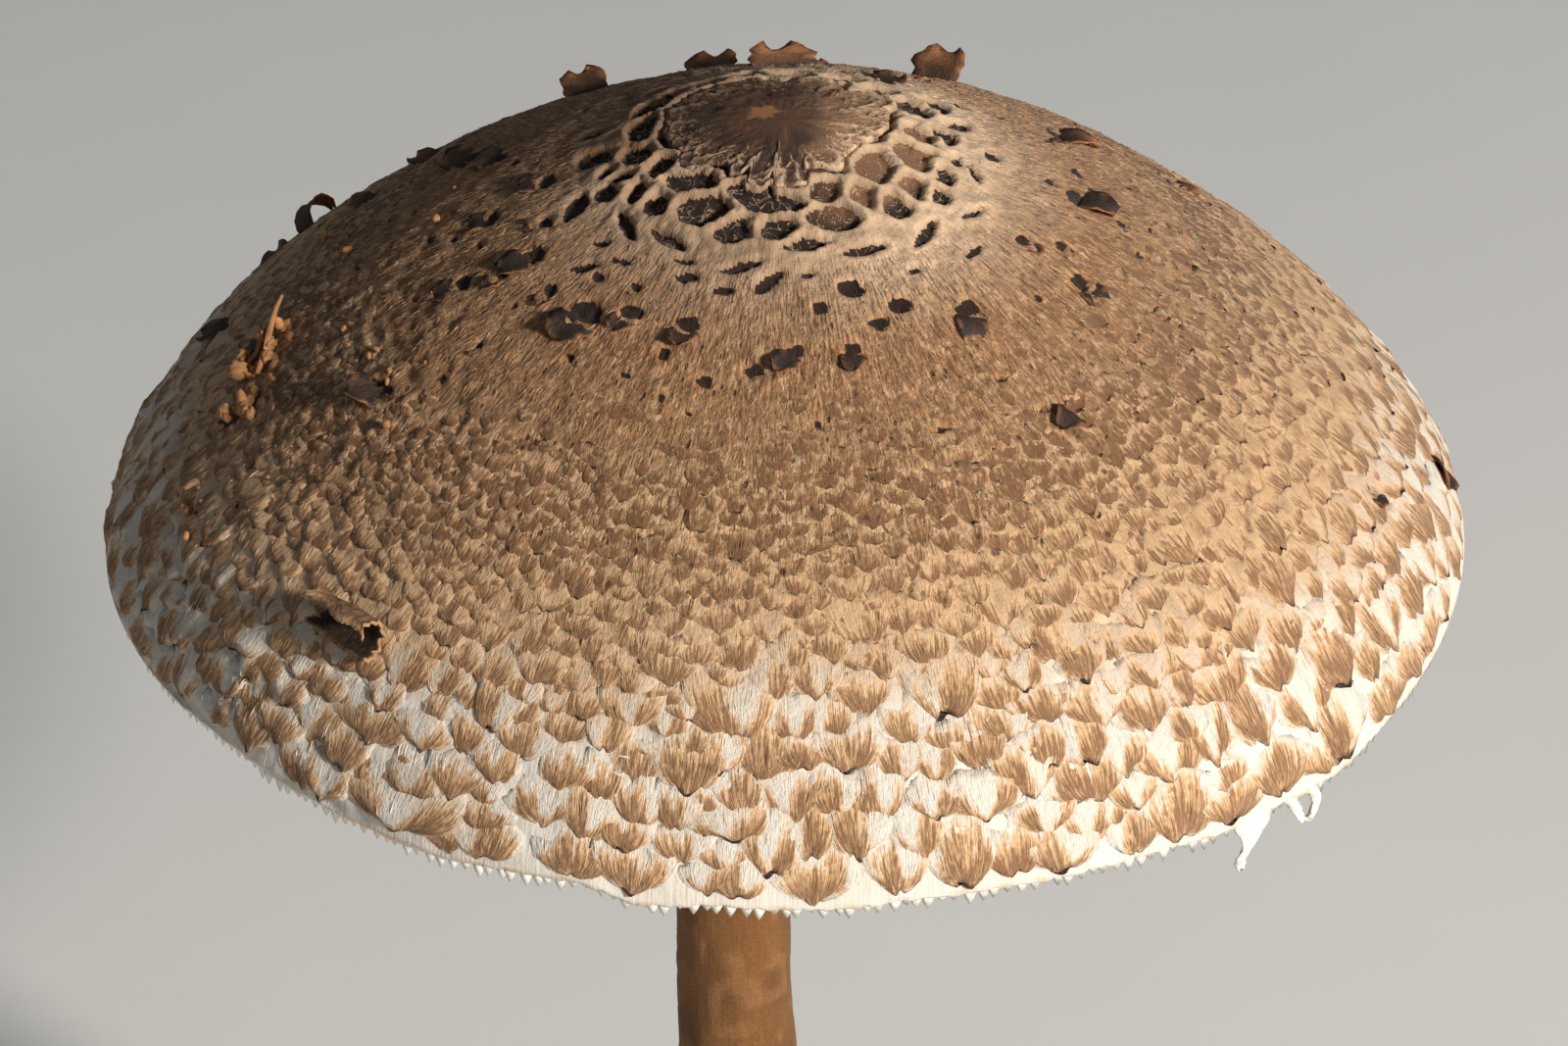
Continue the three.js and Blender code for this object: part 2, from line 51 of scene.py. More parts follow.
def linear(red, green, blue):
    # a colour given as 0 to 255 on screen, as the light values that shaders use
    c = np.array([red, green, blue]) / 255
    return np.where(c <= 0.04045, c / 12.92, ((c + 0.055) / 1.055) ** 2.4)


def smooth(low, high, x):
    # 0 below low, 1 above high, and an even curve between
    t = np.clip((x - low) / (high - low), 0, 1)
    return t * t * (3 - 2 * t)


def blend(a, b, share):
    # a where share is 0 and b where it is 1, for numbers or for rows of colours
    share = np.asarray(share)
    if np.ndim(a) and np.shape(a)[-1] == 3:
        share = share[..., None]
    return a + (b - a) * share


def waveRound(angle, turns, phase):
    # two sines round the axis, which stay within -1 and 1
    return 0.6 * np.sin(turns * angle + phase) + 0.4 * np.sin((2 * turns + 1) * angle + 2.1 * phase)


def nearTurn(angle):
    # an angle brought within half a turn of zero
    return (angle + math.pi) % fullTurn - math.pi


def ripple(along, angle, step, around, seed):
    # seeded values on a lattice, "around" of them round the axis and one every step along, eased between
    values = np.random.default_rng(seed).uniform(-1, 1, (int(400 / step) + 2, around))
    row = along / step + 40 / step
    column = (angle % fullTurn) / fullTurn * around
    i, j = np.floor(row).astype(int), np.floor(column).astype(int)
    fi, fj = smooth(0, 1, row - i), smooth(0, 1, column - j)
    i = np.clip(i, 0, values.shape[0] - 2)
    low = values[i, j % around] * (1 - fj) + values[i, (j + 1) % around] * fj
    high = values[i + 1, j % around] * (1 - fj) + values[i + 1, (j + 1) % around] * fj
    return low * (1 - fi) + high * fi


def gridFaces(rows, columns, first=0, loop=False):
    # quads over rings of points numbered ring by ring; with loop, the last ring is joined to the first
    r = np.arange(rows if loop else rows - 1)[:, None]
    c = np.arange(columns)[None, :]
    here, below = r * columns, (r + 1) % rows * columns
    after = (c + 1) % columns
    quads = np.stack([here + c, below + c, below + after, here + after], -1)
    return quads.reshape(-1, 4) + first


def sheetGrid(rows, columns):
    # the quads of an open sheet of points, and the numbers of the points round its border
    grid = np.arange(rows * columns).reshape(rows, columns)
    quads = np.stack([grid[:-1, :-1], grid[:-1, 1:], grid[1:, 1:], grid[1:, :-1]], -1).reshape(-1, 4)
    return quads, np.concatenate([grid[0, :-1], grid[:-1, -1], grid[-1, :0:-1], grid[:0:-1, 0]])


def fanFaces(centre, start, columns, turned=False):
    # triangles from one point to a ring of points
    c = np.arange(columns)
    ring = np.stack([np.full(columns, centre), start + c, start + (c + 1) % columns], -1)
    return ring[:, ::-1] if turned else ring


def endFaces(around, last):
    # triangles that close a tube's first ring of points and its last ring, which starts at the number "last"
    k = np.arange(1, around - 1)
    near = np.stack([0 * k, k, k + 1], -1)
    far = np.stack([last + 0 * k, last + k + 1, last + k], -1)
    return np.concatenate([near, far])


def putInScene(thing):
    bpy.context.scene.collection.objects.link(thing)


def makePiece(name, material, points, faces, colours=None, vectors=None, smoothFaces=True):
    # a mesh from points in millimetres and groups of quads or triangles; each point has a colour and vectors
    mesh = bpy.data.meshes.new(name)
    points = np.asarray(points, float).reshape(-1, 3)
    sizes = np.concatenate([np.full(len(group), group.shape[1]) for group in faces])
    corners = np.concatenate([group.ravel() for group in faces])
    mesh.vertices.add(len(points))
    mesh.vertices.foreach_set("co", (points * mm).astype(np.float32).ravel())
    mesh.loops.add(len(corners))
    mesh.loops.foreach_set("vertex_index", corners.astype(np.int32))
    mesh.polygons.add(len(sizes))
    mesh.polygons.foreach_set("loop_start", (np.cumsum(sizes) - sizes).astype(np.int32))
    mesh.polygons.foreach_set("use_smooth", np.full(len(sizes), smoothFaces))
    if colours is not None:
        tint = mesh.attributes.new("tint", "FLOAT_COLOR", "POINT")
        rows = np.ones((len(points), 4), np.float32)
        rows[:, :3] = np.clip(np.asarray(colours).reshape(-1, 3), 0, 1)
        tint.data.foreach_set("color", rows.ravel())
    for key, rows in (vectors or {}).items():
        held = mesh.attributes.new(key, "FLOAT_VECTOR", "POINT")
        held.data.foreach_set("vector", np.asarray(rows, np.float32).reshape(-1, 3).ravel())
    mesh.update(calc_edges=True)
    mesh.validate()
    mesh.materials.append(material)
    piece = bpy.data.objects.new(name, mesh)
    putInScene(piece)
    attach(piece, "root")
    print(f"{name}: {len(points)} points, {int((sizes - 2).sum())} triangles")
    return piece


def squareMap(piece, count, groups):
    # a map for a shape that is repeated: each has a square of its own, and the groups hold, face by face,
    # where the corners lie in it
    side = math.ceil(math.sqrt(count))
    corner = np.stack([np.arange(count) % side, np.arange(count) // side], -1)[:, None, None, :]
    places = np.concatenate([((corner + group) / side).reshape(-1, 2) for group in groups])
    flat = piece.data.uv_layers.new(name="OFBake")
    flat.data.foreach_set("uv", places.astype(np.float32).ravel())


class Link:
    # one output socket, with the sums that shaders need written as Python
    def __init__(self, paint, socket):
        self.paint = paint
        self.socket = socket

    def output(self, key):
        return Link(self.paint, self.socket.node.outputs[key])

    def math(self, operation, *values):
        return self.paint.node("ShaderNodeMath", {"operation": operation}, values)

    def __add__(self, other):
        return self.math("ADD", self, other)

    def __sub__(self, other):
        return self.math("SUBTRACT", self, other)

    def __mul__(self, other):
        return self.math("MULTIPLY", self, other)

    def __truediv__(self, other):
        return self.math("DIVIDE", self, other)

    def __pow__(self, other):
        return self.math("POWER", self, other)

    def __rsub__(self, other):
        return self.math("SUBTRACT", other, self)

    __radd__ = __add__
    __rmul__ = __mul__


class Paint:
    # a material and the nodes in it; the shader's even values are set on its own sockets
    def __init__(self, name, constants):
        self.material = bpy.data.materials.new(name)
        self.material.use_nodes = True
        self.tree = self.material.node_tree
        self.shader = self.tree.nodes["Principled BSDF"]
        for key, value in constants.items():
            self.shader.inputs[key].default_value = value

    def node(self, kind, settings, values):
        # a node of that kind: its settings first, then the values or links of its sockets
        made = self.tree.nodes.new(kind)
        for key, value in settings.items():
            setattr(made, key, value)
        for key, value in values.items() if isinstance(values, dict) else enumerate(values):
            if isinstance(value, Link):
                self.tree.links.new(value.socket, made.inputs[key])
            else:
                made.inputs[key].default_value = value
        return Link(self, made.outputs[0])

    def parts(self, vector):
        # the three numbers of a vector
        split = self.node("ShaderNodeSeparateXYZ", {}, {0: vector})
        return [split.output(i) for i in range(3)]

    def place(self):
        # Object coordinates in millimetres
        spot = self.node("ShaderNodeTexCoord", {}, {}).output("Object")
        return self.node("ShaderNodeVectorMath", {"operation": "SCALE"}, {0: spot, "Scale": 1 / mm})

    def tint(self):
        # the colour kept for each point
        return self.node("ShaderNodeAttribute", {"attribute_name": "tint"}, {}).output("Color")

    def kept(self, name):
        # the vector kept for each point under that name
        return self.node("ShaderNodeAttribute", {"attribute_name": name}, {}).output("Vector")

    def vector(self, x, y, z):
        return self.node("ShaderNodeCombineXYZ", {}, {0: x, 1: y, 2: z})

    def noise(self, vector, scale, detail=2.0, roughness=0.5, distortion=0.0):
        values = {"Vector": vector, "Scale": scale, "Detail": detail, "Roughness": roughness,
                  "Distortion": distortion}
        return self.node("ShaderNodeTexNoise", {}, values)

    def mix(self, share, a, b, kind="MIX"):
        made = self.node("ShaderNodeMix", {"data_type": "RGBA", "blend_type": kind}, {0: share, 6: a, 7: b})
        return made.output(2)

    def step(self, value, low, high):
        # 0 below low and 1 above high, eased between
        ease = {"interpolation_type": "SMOOTHSTEP"}
        return self.node("ShaderNodeMapRange", ease, {"Value": value, "From Min": low, "From Max": high})

    def grey(self, value):
        return self.node("ShaderNodeCombineColor", {}, {0: value, 1: value, 2: value})

    def shade(self, colour, value):
        # a colour made darker or lighter by a number
        return self.mix(1.0, colour, self.grey(value), "MULTIPLY")

    def bump(self, height, distance, strength=1.0):
        values = {"Strength": strength, "Distance": distance * mm, "Height": height}
        return self.node("ShaderNodeBump", {}, values)

    def connect(self, key, link):
        self.tree.links.new(link.socket, self.shader.inputs[key])


def roundAxis(paint, spot, along):
    # coordinates for streaks that run out from the cap's axis: the bearing as a point on a circle of the
    # size "along", and the distance from the axis, so that no seam shows
    x, y, _ = paint.parts(spot)
    x, y = x - axisX, y - axisY
    radius = (x * x + y * y) ** 0.5 + 0.01
    return paint.vector(x / radius * along, y / radius * along, radius * 0.55), radius


dome = {
    "radius": 75.0,
    "rise": 50.0,
    "marginHeight": 150.0,
    "power": 1.51,  # how pointed it is at the top
    "shoulder": 0.69,  # how steeply it falls at the margin
    "wave": 0.5,  # how far the margin rises and falls
    "sag": 1.1,  # how far it hangs by the torn scrap
    "sagBearing": -42.0,
    "sagSpread": 20.0,
    # small rises and drops of the margin's edge: bearing, how far up, and spread in degrees
    "bumps": [(-143, 0.7, 7), (-112, 0.5, 3), (-107, 1.0, 3), (-101, -0.7, 3.5), (-88, -0.5, 6),
              (-39, -0.9, 6), (-52, -0.4, 5), (150, 0.6, 8), (20, -0.5, 7), (75, 0.6, 9), (-170, -0.3, 6)],
}


def domeHeight(radius):
    # rise * (1 - (r / R) ^ power) ^ shoulder
    share = np.clip(radius / dome["radius"], 0, 1)
    return dome["rise"] * (1 - share ** dome["power"]) ** dome["shoulder"]


def marginLift(radius, angle):
    # the margin's wave and its sag, which grow with the cube of the distance from the axis, and its small
    # bumps, which are only near the edge
    def hump(bearing, spread):
        return np.exp(-((np.degrees(nearTurn(angle - math.radians(bearing))) / spread) ** 2))

    share = radius / dome["radius"]
    slow = dome["wave"] * waveRound(angle, 2, 0.7) - dome["sag"] * hump(dome["sagBearing"], dome["sagSpread"])
    quick = sum(rise * hump(bearing, spread) for bearing, rise, spread in dome["bumps"])
    return share ** 3 * slow + share ** 16 * quick


tableRadius = dome["radius"] * np.sin(np.linspace(0, math.pi / 2, 4000))
tableHeight = domeHeight(tableRadius)
tableArc = np.concatenate([[0], np.cumsum(np.hypot(np.diff(tableRadius), np.diff(tableHeight)))])
tableRun = np.gradient(tableRadius, tableArc)
tableFall = -np.gradient(tableHeight, tableArc)
rimArc = tableArc[-1]


def roundPoint(radius, angle, height):
    # a point so far from the cap's axis, at a bearing and a height
    return np.stack([axisX + radius * np.cos(angle), axisY + radius * np.sin(angle), height], -1)


def arcAt(radius):
    # the distance along the dome from the umbo to a distance from the axis
    return np.interp(radius, tableRadius, tableArc)


def radiusAt(arc):
    return np.interp(arc, tableArc, tableRadius)


def onDome(arc, angle, lift):
    # a point so far along the dome, at a bearing, lifted off it along the dome's normal
    run, fall = np.interp(arc, tableArc, tableRun), np.interp(arc, tableArc, tableFall)
    size = np.hypot(run, fall)
    radius = radiusAt(arc)
    out = radius + lift * fall / size
    height = np.interp(arc, tableArc, tableHeight) + marginLift(radius, angle) + lift * run / size
    return roundPoint(out, angle, dome["marginHeight"] + height)


capColours = {
    "felt": linear(148, 109, 77),
    "feltDark": linear(120, 86, 60),
    "feltLight": linear(177, 138, 101),
    "feltPale": linear(204, 168, 129),
    "flesh": linear(224, 216, 204),
    "fleshWarm": linear(226, 190, 148),
    "halo": linear(218, 180, 139),
    "scale": linear(187, 147, 111),
    "scaleDeep": linear(130, 97, 69),
    "scalePale": linear(204, 163, 122),
    "scaleDark": linear(72, 46, 31),
    "ridge": linear(152, 122, 96),
    "ridgePale": linear(226, 194, 160),
    # floor: the dark of sunk places, partly dark skin and partly painted shade in the hollows
    "floor": linear(50, 36, 30),
    "floorTan": linear(146, 106, 76),
    "rust": linear(192, 136, 86),
}

# the cap's grid: points round it, and how far apart its rings are on the umbo, net, felt and scales
gridSize = {"columns": 720, "discStep": 1.3, "netStep": 0.34, "feltStep": 0.5, "scaleStep": 0.62,
            "netStart": 7.0, "netEnd": 31.0, "feltEnd": 47.0}

# the side where the felt reaches furthest out, with small thick scales and crumbs
feltSide = {"bearing": 202.0, "spread": 48.0}


def leftward(angle):
    # 1 on that side, and 0 away from it
    aside = np.degrees(nearTurn(angle - math.radians(feltSide["bearing"])))
    return np.exp(-((aside / feltSide["spread"]) ** 2))


def ringArcs():
    # where the grid's rings lie along the dome: close together where the detail is fine
    netStart, netEnd, feltEnd = (arcAt(gridSize[key]) for key in ("netStart", "netEnd", "feltEnd"))
    inner = np.concatenate([
        np.arange(1.0, netStart, gridSize["discStep"]),
        np.arange(netStart, netEnd, gridSize["netStep"]),
        np.arange(netEnd, feltEnd, gridSize["feltStep"]),
    ])
    outer = np.linspace(feltEnd, rimArc - 0.05, int((rimArc - feltEnd) / gridSize["scaleStep"]))
    return inner, outer


innerArcs, outerArcs = ringArcs()
gridArcs = np.concatenate([innerArcs, outerArcs])
gridAngles = np.arange(gridSize["columns"]) / gridSize["columns"] * fullTurn
arcField, angleField = np.meshgrid(gridArcs, gridAngles, indexing="ij")
radiusField = radiusAt(arcField)

disc = {"edge": 12.2, "longer": 1.9, "longerBearing": 100.0, "bite": 3.4, "biteBearing": -20.0,
        "biteSpread": 30.0, "notch": 2.6, "rings": 52, "columns": 260, "lift": 0.45, "ridge": 0.24,
        "starAt": (3.2, 2.35), "starSize": 1.6}


def discEdge(angle):
    # how far from the axis the skin on the umbo ends: further at the back, nearer where ridges have broken
    # it up, and notched where a slow ripple is high
    away = np.degrees(nearTurn(angle - math.radians(disc["biteBearing"])))
    longer = disc["longer"] * np.cos(angle - math.radians(disc["longerBearing"]))
    still = np.zeros_like(angle)
    wander = 0.9 * ripple(still, angle, 1, 17, 70) + 0.35 * ripple(still, angle, 1, 60, 71)
    notches = disc["notch"] * smooth(0.3, 0.9, ripple(still, angle, 1, 44, 76)) * smooth(0, 60, np.abs(away))
    bite = disc["bite"] * np.exp(-((away / disc["biteSpread"]) ** 2))
    return disc["edge"] + longer + wander - notches - bite


net = {"height": 0.8, "cordWidth": 0.66, "growth": 1.2, "depth": 0.4, "corners": 1.75, "fullness": 1.85,
       "cellWidth": 5.0, "rowArcs": [17.5, 21.5, 25.2, 28.6, 31.6], "seed": 12}

# floors of the net: distance from the axis, bearing, length, width, and how far the length turns outwards
netFloors = [
    (13.4, 220, 5.5, 1.9, -23), (16.1, 236, 5.1, 2.7, -16), (12.9, 260, 8.2, 2.1, 12),
    (17.8, 252, 3.3, 2.2, -28), (17.1, 266, 2.8, 1.4, 1), (19.2, 276, 4.6, 0.8, -4),
    (20.8, 294, 4.7, 1.1, 1), (15.5, 290, 3.6, 2.8, 13), (12.6, 290, 2.8, 1.8, -12),
    (14.1, 304, 1.9, 2.0, 23), (11.3, 327, 2.5, 4.2, 40), (16.8, 315, 1.6, 2.7, 32),
    (16.0, 327, 1.9, 2.3, 40), (14.2, 350, 2.3, 4.6, 53), (14.8, 8, 2.0, 2.9, -40),
    (17.7, 344, 2.7, 0.8, -38), (19.0, 332, 1.2, 1.5, 37), (21.2, 315, 5.0, 1.1, -22),
    (22.4, 334, 3.2, 0.7, 13), (20.4, 353, 3.4, 0.7, -27), (25.5, 322, 2.7, 0.7, -5),
    (24.6, 304, 1.7, 0.5, -2), (25.2, 286, 2.5, 1.7, 14), (28.0, 296, 2.2, 1.6, 28),
    (22.7, 276, 1.7, 0.8, -21), (23.5, 266, 4.0, 1.4, -48), (25.1, 255, 2.0, 1.2, -10),
    (22.0, 258, 4.5, 1.0, -26), (24.3, 245, 2.2, 1.2, -16), (22.5, 242, 2.8, 0.6, -4),
    (20.7, 233, 5.0, 1.2, 9), (21.5, 218, 4.6, 1.2, 19), (17.8, 219, 2.8, 1.9, -10),
    (17.9, 208, 1.5, 2.6, -42), (20.4, 200, 2.7, 2.6, -45), (23.7, 199, 2.4, 4.2, -44),
    (25.0, 226, 2.4, 0.8, -24), (27.5, 219, 2.9, 1.1, -48), (24.4, 217, 2.6, 0.7, -30),
    (13.8, 202, 2.9, 1.6, 70), (15.6, 164, 5.4, 1.6, -1), (20.7, 178, 3.9, 2.6, -59),
    (21.5, 162, 3.4, 1.7, 81), (19.3, 190, 2.0, 1.0, 75), (17.2, 144, 5.4, 2.2, 2),
    (16.4, 186, 2.3, 1.8, -57), (18.3, 196, 1.9, 1.4, -48), (17.4, 12, 1.7, 2.2, 66),
    (20.2, 22, 2.4, 1.9, 74), (19.2, 356, 0.9, 1.2, 58), (22.6, 7, 1.7, 2.0, 62), (20.6, 38, 2.4, 3.6, 86),
]


def layFloors():
    # the floors above, and behind the umbo rows of seeded ones, each row set off from the last
    draw = np.random.default_rng(net["seed"])
    rows = [(r, math.radians(b), long, wide, math.radians(tilt)) for r, b, long, wide, tilt in netFloors]
    for row, arc in enumerate(net["rowArcs"]):
        radius = radiusAt(arc)
        count = int(fullTurn * radius / net["cellWidth"])
        for i in range(count):
            bearing = (i + 0.5 * (row % 2) + draw.uniform(-0.25, 0.25)) / count * 360
            near, size = radius + draw.uniform(-0.6, 0.6), draw.uniform(0.6, 1.0)
            if 28 < bearing < 150 - 4 * row and draw.random() < 0.86 - 0.08 * row:
                rows.append((near, math.radians(bearing), (4.0 - 0.4 * row) * size, (2.3 - 0.3 * row) * size,
                             draw.uniform(-0.4, 0.4)))
    return rows


def fieldWindow(arc, angle, outward, inward, aside):
    # the rows and columns of the grid that lie within those distances of a place
    columns = gridSize["columns"]
    first, last = np.searchsorted(gridArcs, [arc - inward, arc + outward])
    reach = min(int(math.ceil(aside / max(radiusAt(arc), 1) / fullTurn * columns)) + 1, columns // 2 - 1)
    middle = int(round(angle / fullTurn * columns))
    return np.ix_(np.arange(first, last), np.arange(middle - reach, middle + reach + 1) % columns)


def netField():
    # how far every grid point is from the nearest floor, each floor a rounded box with a wavering edge, and
    # the skin on the umbo counts as one. Near the umbo floors grow until the walls between them are even.
    # Walls rise round from the floors, and die out where floors are far apart
    near = radiusField - discEdge(angleField)
    second = np.full_like(near, 9.0)
    waver = 0.16 * ripple(arcField, angleField, 0.8, 150, 4) + 0.1 * ripple(arcField, angleField, 0.4, 400, 5)
    for radius, angle, long, wide, tilt in layFloors():
        arc = arcAt(radius)
        reach = long / 2 + wide / 2 + 3.5
        window = fieldWindow(arc, angle, reach, reach, reach)
        aside = radiusField[window] * nearTurn(angleField[window] - angle)
        out = arcField[window] - arc
        u = aside * math.cos(tilt) + out * math.sin(tilt)
        v = out * math.cos(tilt) - aside * math.sin(tilt)
        power = net["corners"]
        along, across = (np.abs(way) * net["fullness"] / size for way, size in ((u, long), (v, wide)))
        share = (along ** power + across ** power + 1e-6) ** (1 / power)
        far = np.hypot(u, v) * (1 - 1 / share)
        second[window] = np.minimum(second[window], np.maximum(near[window], far))
        near[window] = np.minimum(near[window], far)
    wall = net["cordWidth"] - (second - near) / 2
    away = np.minimum(near, np.maximum(wall, near - net["growth"] * smooth(21, 17, arcField))) + waver
    raised = net["height"] * (1 - 0.72 * smooth(16, 27, arcField)) * (1 - smooth(28, 38, arcField))
    cord = np.sin(np.clip(away / net["cordWidth"], 0, 1) * math.pi / 2)
    cord = cord * (1 - 0.5 * smooth(0.9, 2.6, away))
    floor = smooth(0.12, -0.12, away)
    depth = net["depth"] * smooth(0.1, -0.3, away) * smooth(8, 13, arcField) + 0.3 * smooth(13, 8, arcField)
    return cord * raised - depth, cord * smooth(34, 24, arcField), floor


# the width of a scale at distances from the axis, in millimetres
scaleWidths = {"radius": [22, 31, 39, 48, 56, 61, 66, 71, 75],
               "width": [1.6, 1.9, 2.3, 2.9, 3.7, 4.5, 5.4, 6.3, 6.7]}
scales = {"inner": 36.0, "fadeIn": (36.0, 48.0), "rimGap": 0.7, "squat": 0.74, "overlap": 0.1,
          "swell": 0.05, "step": 0.004, "tip": 0.1, "curlUp": 0.06, "sink": 0.06, "seed": 21}
# how the feet are scattered: how many tries, the sizes as shares of the usual width, and how near they may be
scaleStages = [(1200, 1.1, 1.35, 0.72), (40000, 0.74, 1.1, 0.7), (3000, 0.36, 0.6, 0.7)]


def usualWidth(radius):
    return np.interp(radius, scaleWidths["radius"], scaleWidths["width"])


def scatterFeet():
    # the feet of the scales: one ring near the margin, and the rest fall at random and stay where no other is
    # near, big ones first and narrow tufts last. Feet may be nearer to each other along the dome than across
    draw = np.random.default_rng(scales["seed"])
    ring = int(fullTurn * dome["radius"] / scaleWidths["width"][-1])
    near = np.linspace(arcAt(scales["inner"]), rimArc - 2.6, 400)
    chance = np.cumsum(radiusAt(near) / usualWidth(radiusAt(near)) ** 2)
    feet = np.zeros((9000, 3))
    feet[:ring, 0] = rimArc - 0.1 - scales["rimGap"] * draw.random(ring)
    feet[:ring, 1] = (np.arange(ring) + draw.uniform(-0.36, 0.36, ring)) / ring * fullTurn
    feet[:ring, 2] = scaleWidths["width"][-1] * draw.uniform(0.65, 1.3, ring)
    count = ring
    for tries, least, most, apart in scaleStages:
        arcs = np.interp(draw.random(tries), chance / chance[-1], near)
        angles = draw.random(tries) * fullTurn
        radii = radiusAt(arcs)
        sizes = usualWidth(radii) * draw.uniform(least, most, tries)
        sizes = sizes * (1 - leftward(angles) * (0.2 + 0.3 * smooth(68, 58, radii)))
        for arc, angle, radius, size in zip(arcs, angles, radii, sizes):
            others = feet[:count]
            aside = radius * nearTurn(others[:, 1] - angle)
            far = aside ** 2 + ((others[:, 0] - arc) / scales["squat"]) ** 2
            if (far > (apart * (size + others[:, 2]) / 2) ** 2).all():
                feet[count] = arc, angle, size
                count += 1
    return feet[:count], draw


def layScales():
    # each scale reaches inwards until it is just short of the next foot, and to each side until it meets its
    # neighbour. "loose" says how much it stands up, "hollow" whether it has a pale wedge, and "bent" how far
    # its strands run sideways before they turn inwards. Only some are left where they give way to felt
    feet, draw = scatterFeet()
    arc, angle, width = feet.T
    wide = width[:, None]
    inward = arc[:, None] - arc[None]
    aside = radiusAt(arc)[:, None] * nearTurn(angle[None] - angle[:, None])
    big = width[None] > 0.6 * wide
    above = (inward > 0.3 * wide) & (np.abs(aside) < 0.28 * wide) & big
    length = np.where(above, inward, 99).min(1)
    length = length + scales["overlap"] * width * draw.uniform(-0.5, 2.5, len(feet))
    beside = (np.abs(inward - 0.3 * wide) < 0.5 * wide) & big
    sides = []
    for turn in (-1, 1):
        there = beside & (turn * aside > 0.2 * wide)
        reach = np.where(there, turn * aside * wide / (wide + width[None]), 99).min(1)
        sides.append(np.clip(reach * draw.uniform(1.45, 1.8, len(feet)), 0.6 * width, 1.15 * width))
    count = len(feet)
    made = {
        "arc": arc, "angle": angle, "width": width, "left": sides[0], "right": sides[1],
        "length": np.clip(1.15 * length, 0.8 * width, 1.25 * width),
        "foot": draw.uniform(0.18, 0.5, count),
        "bent": draw.uniform(0.8, 1.05, count),
        "turn": draw.uniform(0, fullTurn, count),
        "loose": draw.random(count),
        "hollow": draw.random(count),
        "torn": smooth(48, 62, radiusAt(arc) - 7 * leftward(angle)),
    }
    kept = draw.random(count) < smooth(*scales["fadeIn"], radiusAt(arc) - 6 * leftward(angle))
    return {key: values[kept] for key, values in made.items()}


fanShape = {"spread": 1.45, "drop": 0.5, "bowl": 0.1}


def fanSpot(fan, up, scale):
    # how far aside and inward a place in a scale lies. Strand "fan", from -1 to 1, leaves the foot and
    # bends up to the fringe on a curve of the second degree; "up" is 0 at the foot and 1 at the fringe
    half = np.where(fan < 0, scale["left"], scale["right"])
    turn = fan * fanShape["spread"]
    lobes = 1 + 0.1 * np.sin(5 * fan + scale["turn"]) + 0.09 * np.sin(9 * fan + 3 * scale["turn"])
    endX = lobes * half * np.sin(turn) / math.sin(fanShape["spread"])
    endY = lobes - fanShape["drop"] * (1 - np.cos(turn)) / (1 - math.cos(fanShape["spread"]))
    footX = scale["foot"] * half * fan
    footY = fanShape["bowl"] * fan ** 2 + 0.05 * np.sin(6 * fan + 2 * scale["turn"])
    bendX = blend(footX, endX, scale["bent"])
    bendY = blend(footY, endY, 0.95 - 0.92 * scale["bent"])
    x = (1 - up) ** 2 * footX + 2 * up * (1 - up) * bendX + up ** 2 * endX
    y = (1 - up) ** 2 * footY + 2 * up * (1 - up) * bendY + up ** 2 * endY
    return x, y * scale["length"]


def scaleLift(fan, up, scale):
    # how far the top of a scale is above the cap: a cushion, whose fringe lies over the feet of the scales
    # next inwards. Its own foot is low, except for its tip, which stands up, and on loose scales curls
    edge = np.maximum(up, np.abs(fan))
    swell = scales["swell"] * scale["width"] * (0.3 + 0.9 * scale["loose"]) * (0.5 + 0.5 * scale["torn"])
    swell = swell * (1 + 1.3 * leftward(scale["angle"]))
    cushion = swell * smooth(0, 0.4, up) * smooth(1.0, 0.35, edge)
    over = (0.02 + scales["step"] * scale["width"] * scale["torn"]) * smooth(0.1, 0.7, up)
    curl = scales["tip"] * (0.3 + 0.7 * scale["torn"])
    curl = curl + scales["curlUp"] * scale["width"] * smooth(0.7, 0.95, scale["loose"])
    tip = np.clip(1 - up / 0.22, 0, 1) ** 2 * np.exp(-((fan / 0.6) ** 2))
    return cushion + over + curl * tip - (scales["sink"] + over) * smooth(0.8, 1, edge) - 0.01


def scaleBrown(fan, up, scale):
    # how brown a place in a scale is. It fades to nothing at the outline, slowly towards the fringe, and a
    # pale wedge interrupts it in a hollow one
    outer = scale["torn"]
    half = np.where(fan < 0, scale["left"], scale["right"]) * blend(scale["foot"], 1.0, smooth(0, 0.6, up))
    side = smooth(0, 0.26 * scale["width"], (1 - np.abs(fan)) * half) * smooth(0, 0.07, up)
    middle = smooth(1.0, 0.4, np.abs(fan))
    wedge = smooth(0.36, 0.06, np.abs(fan - 1.6 * (scale["hollow"] - 0.7))) * (scale["hollow"] > 0.4)
    reach = blend(blend(0.8, 1.25, middle), blend(0.66, 1.0, middle), outer) - 0.55 * outer * wedge
    return 1.1 * smooth(reach, reach - blend(1.0, 0.68, outer), up) * side


def scaleTip(fan, up, scale):
    # how dark a place in a scale is because it is near the foot
    return np.exp(-((up / 0.13) ** 2) - (fan / 0.65) ** 2) * (0.4 + 0.7 * scale["loose"])


def pickScales(chosen, dimensions):
    # the values of some scales, shaped to be worked out together with that many more dimensions
    return {key: values[chosen].reshape((-1,) + (1,) * dimensions) for key, values in placedScales.items()}


def onScale(fan, up, scale):
    # the arc and bearing of places in scales
    aside, inward = fanSpot(fan, up, scale)
    arc = np.clip(scale["arc"] - inward, 1.0, rimArc - 0.02)
    return arc, scale["angle"] + aside / radiusAt(arc)


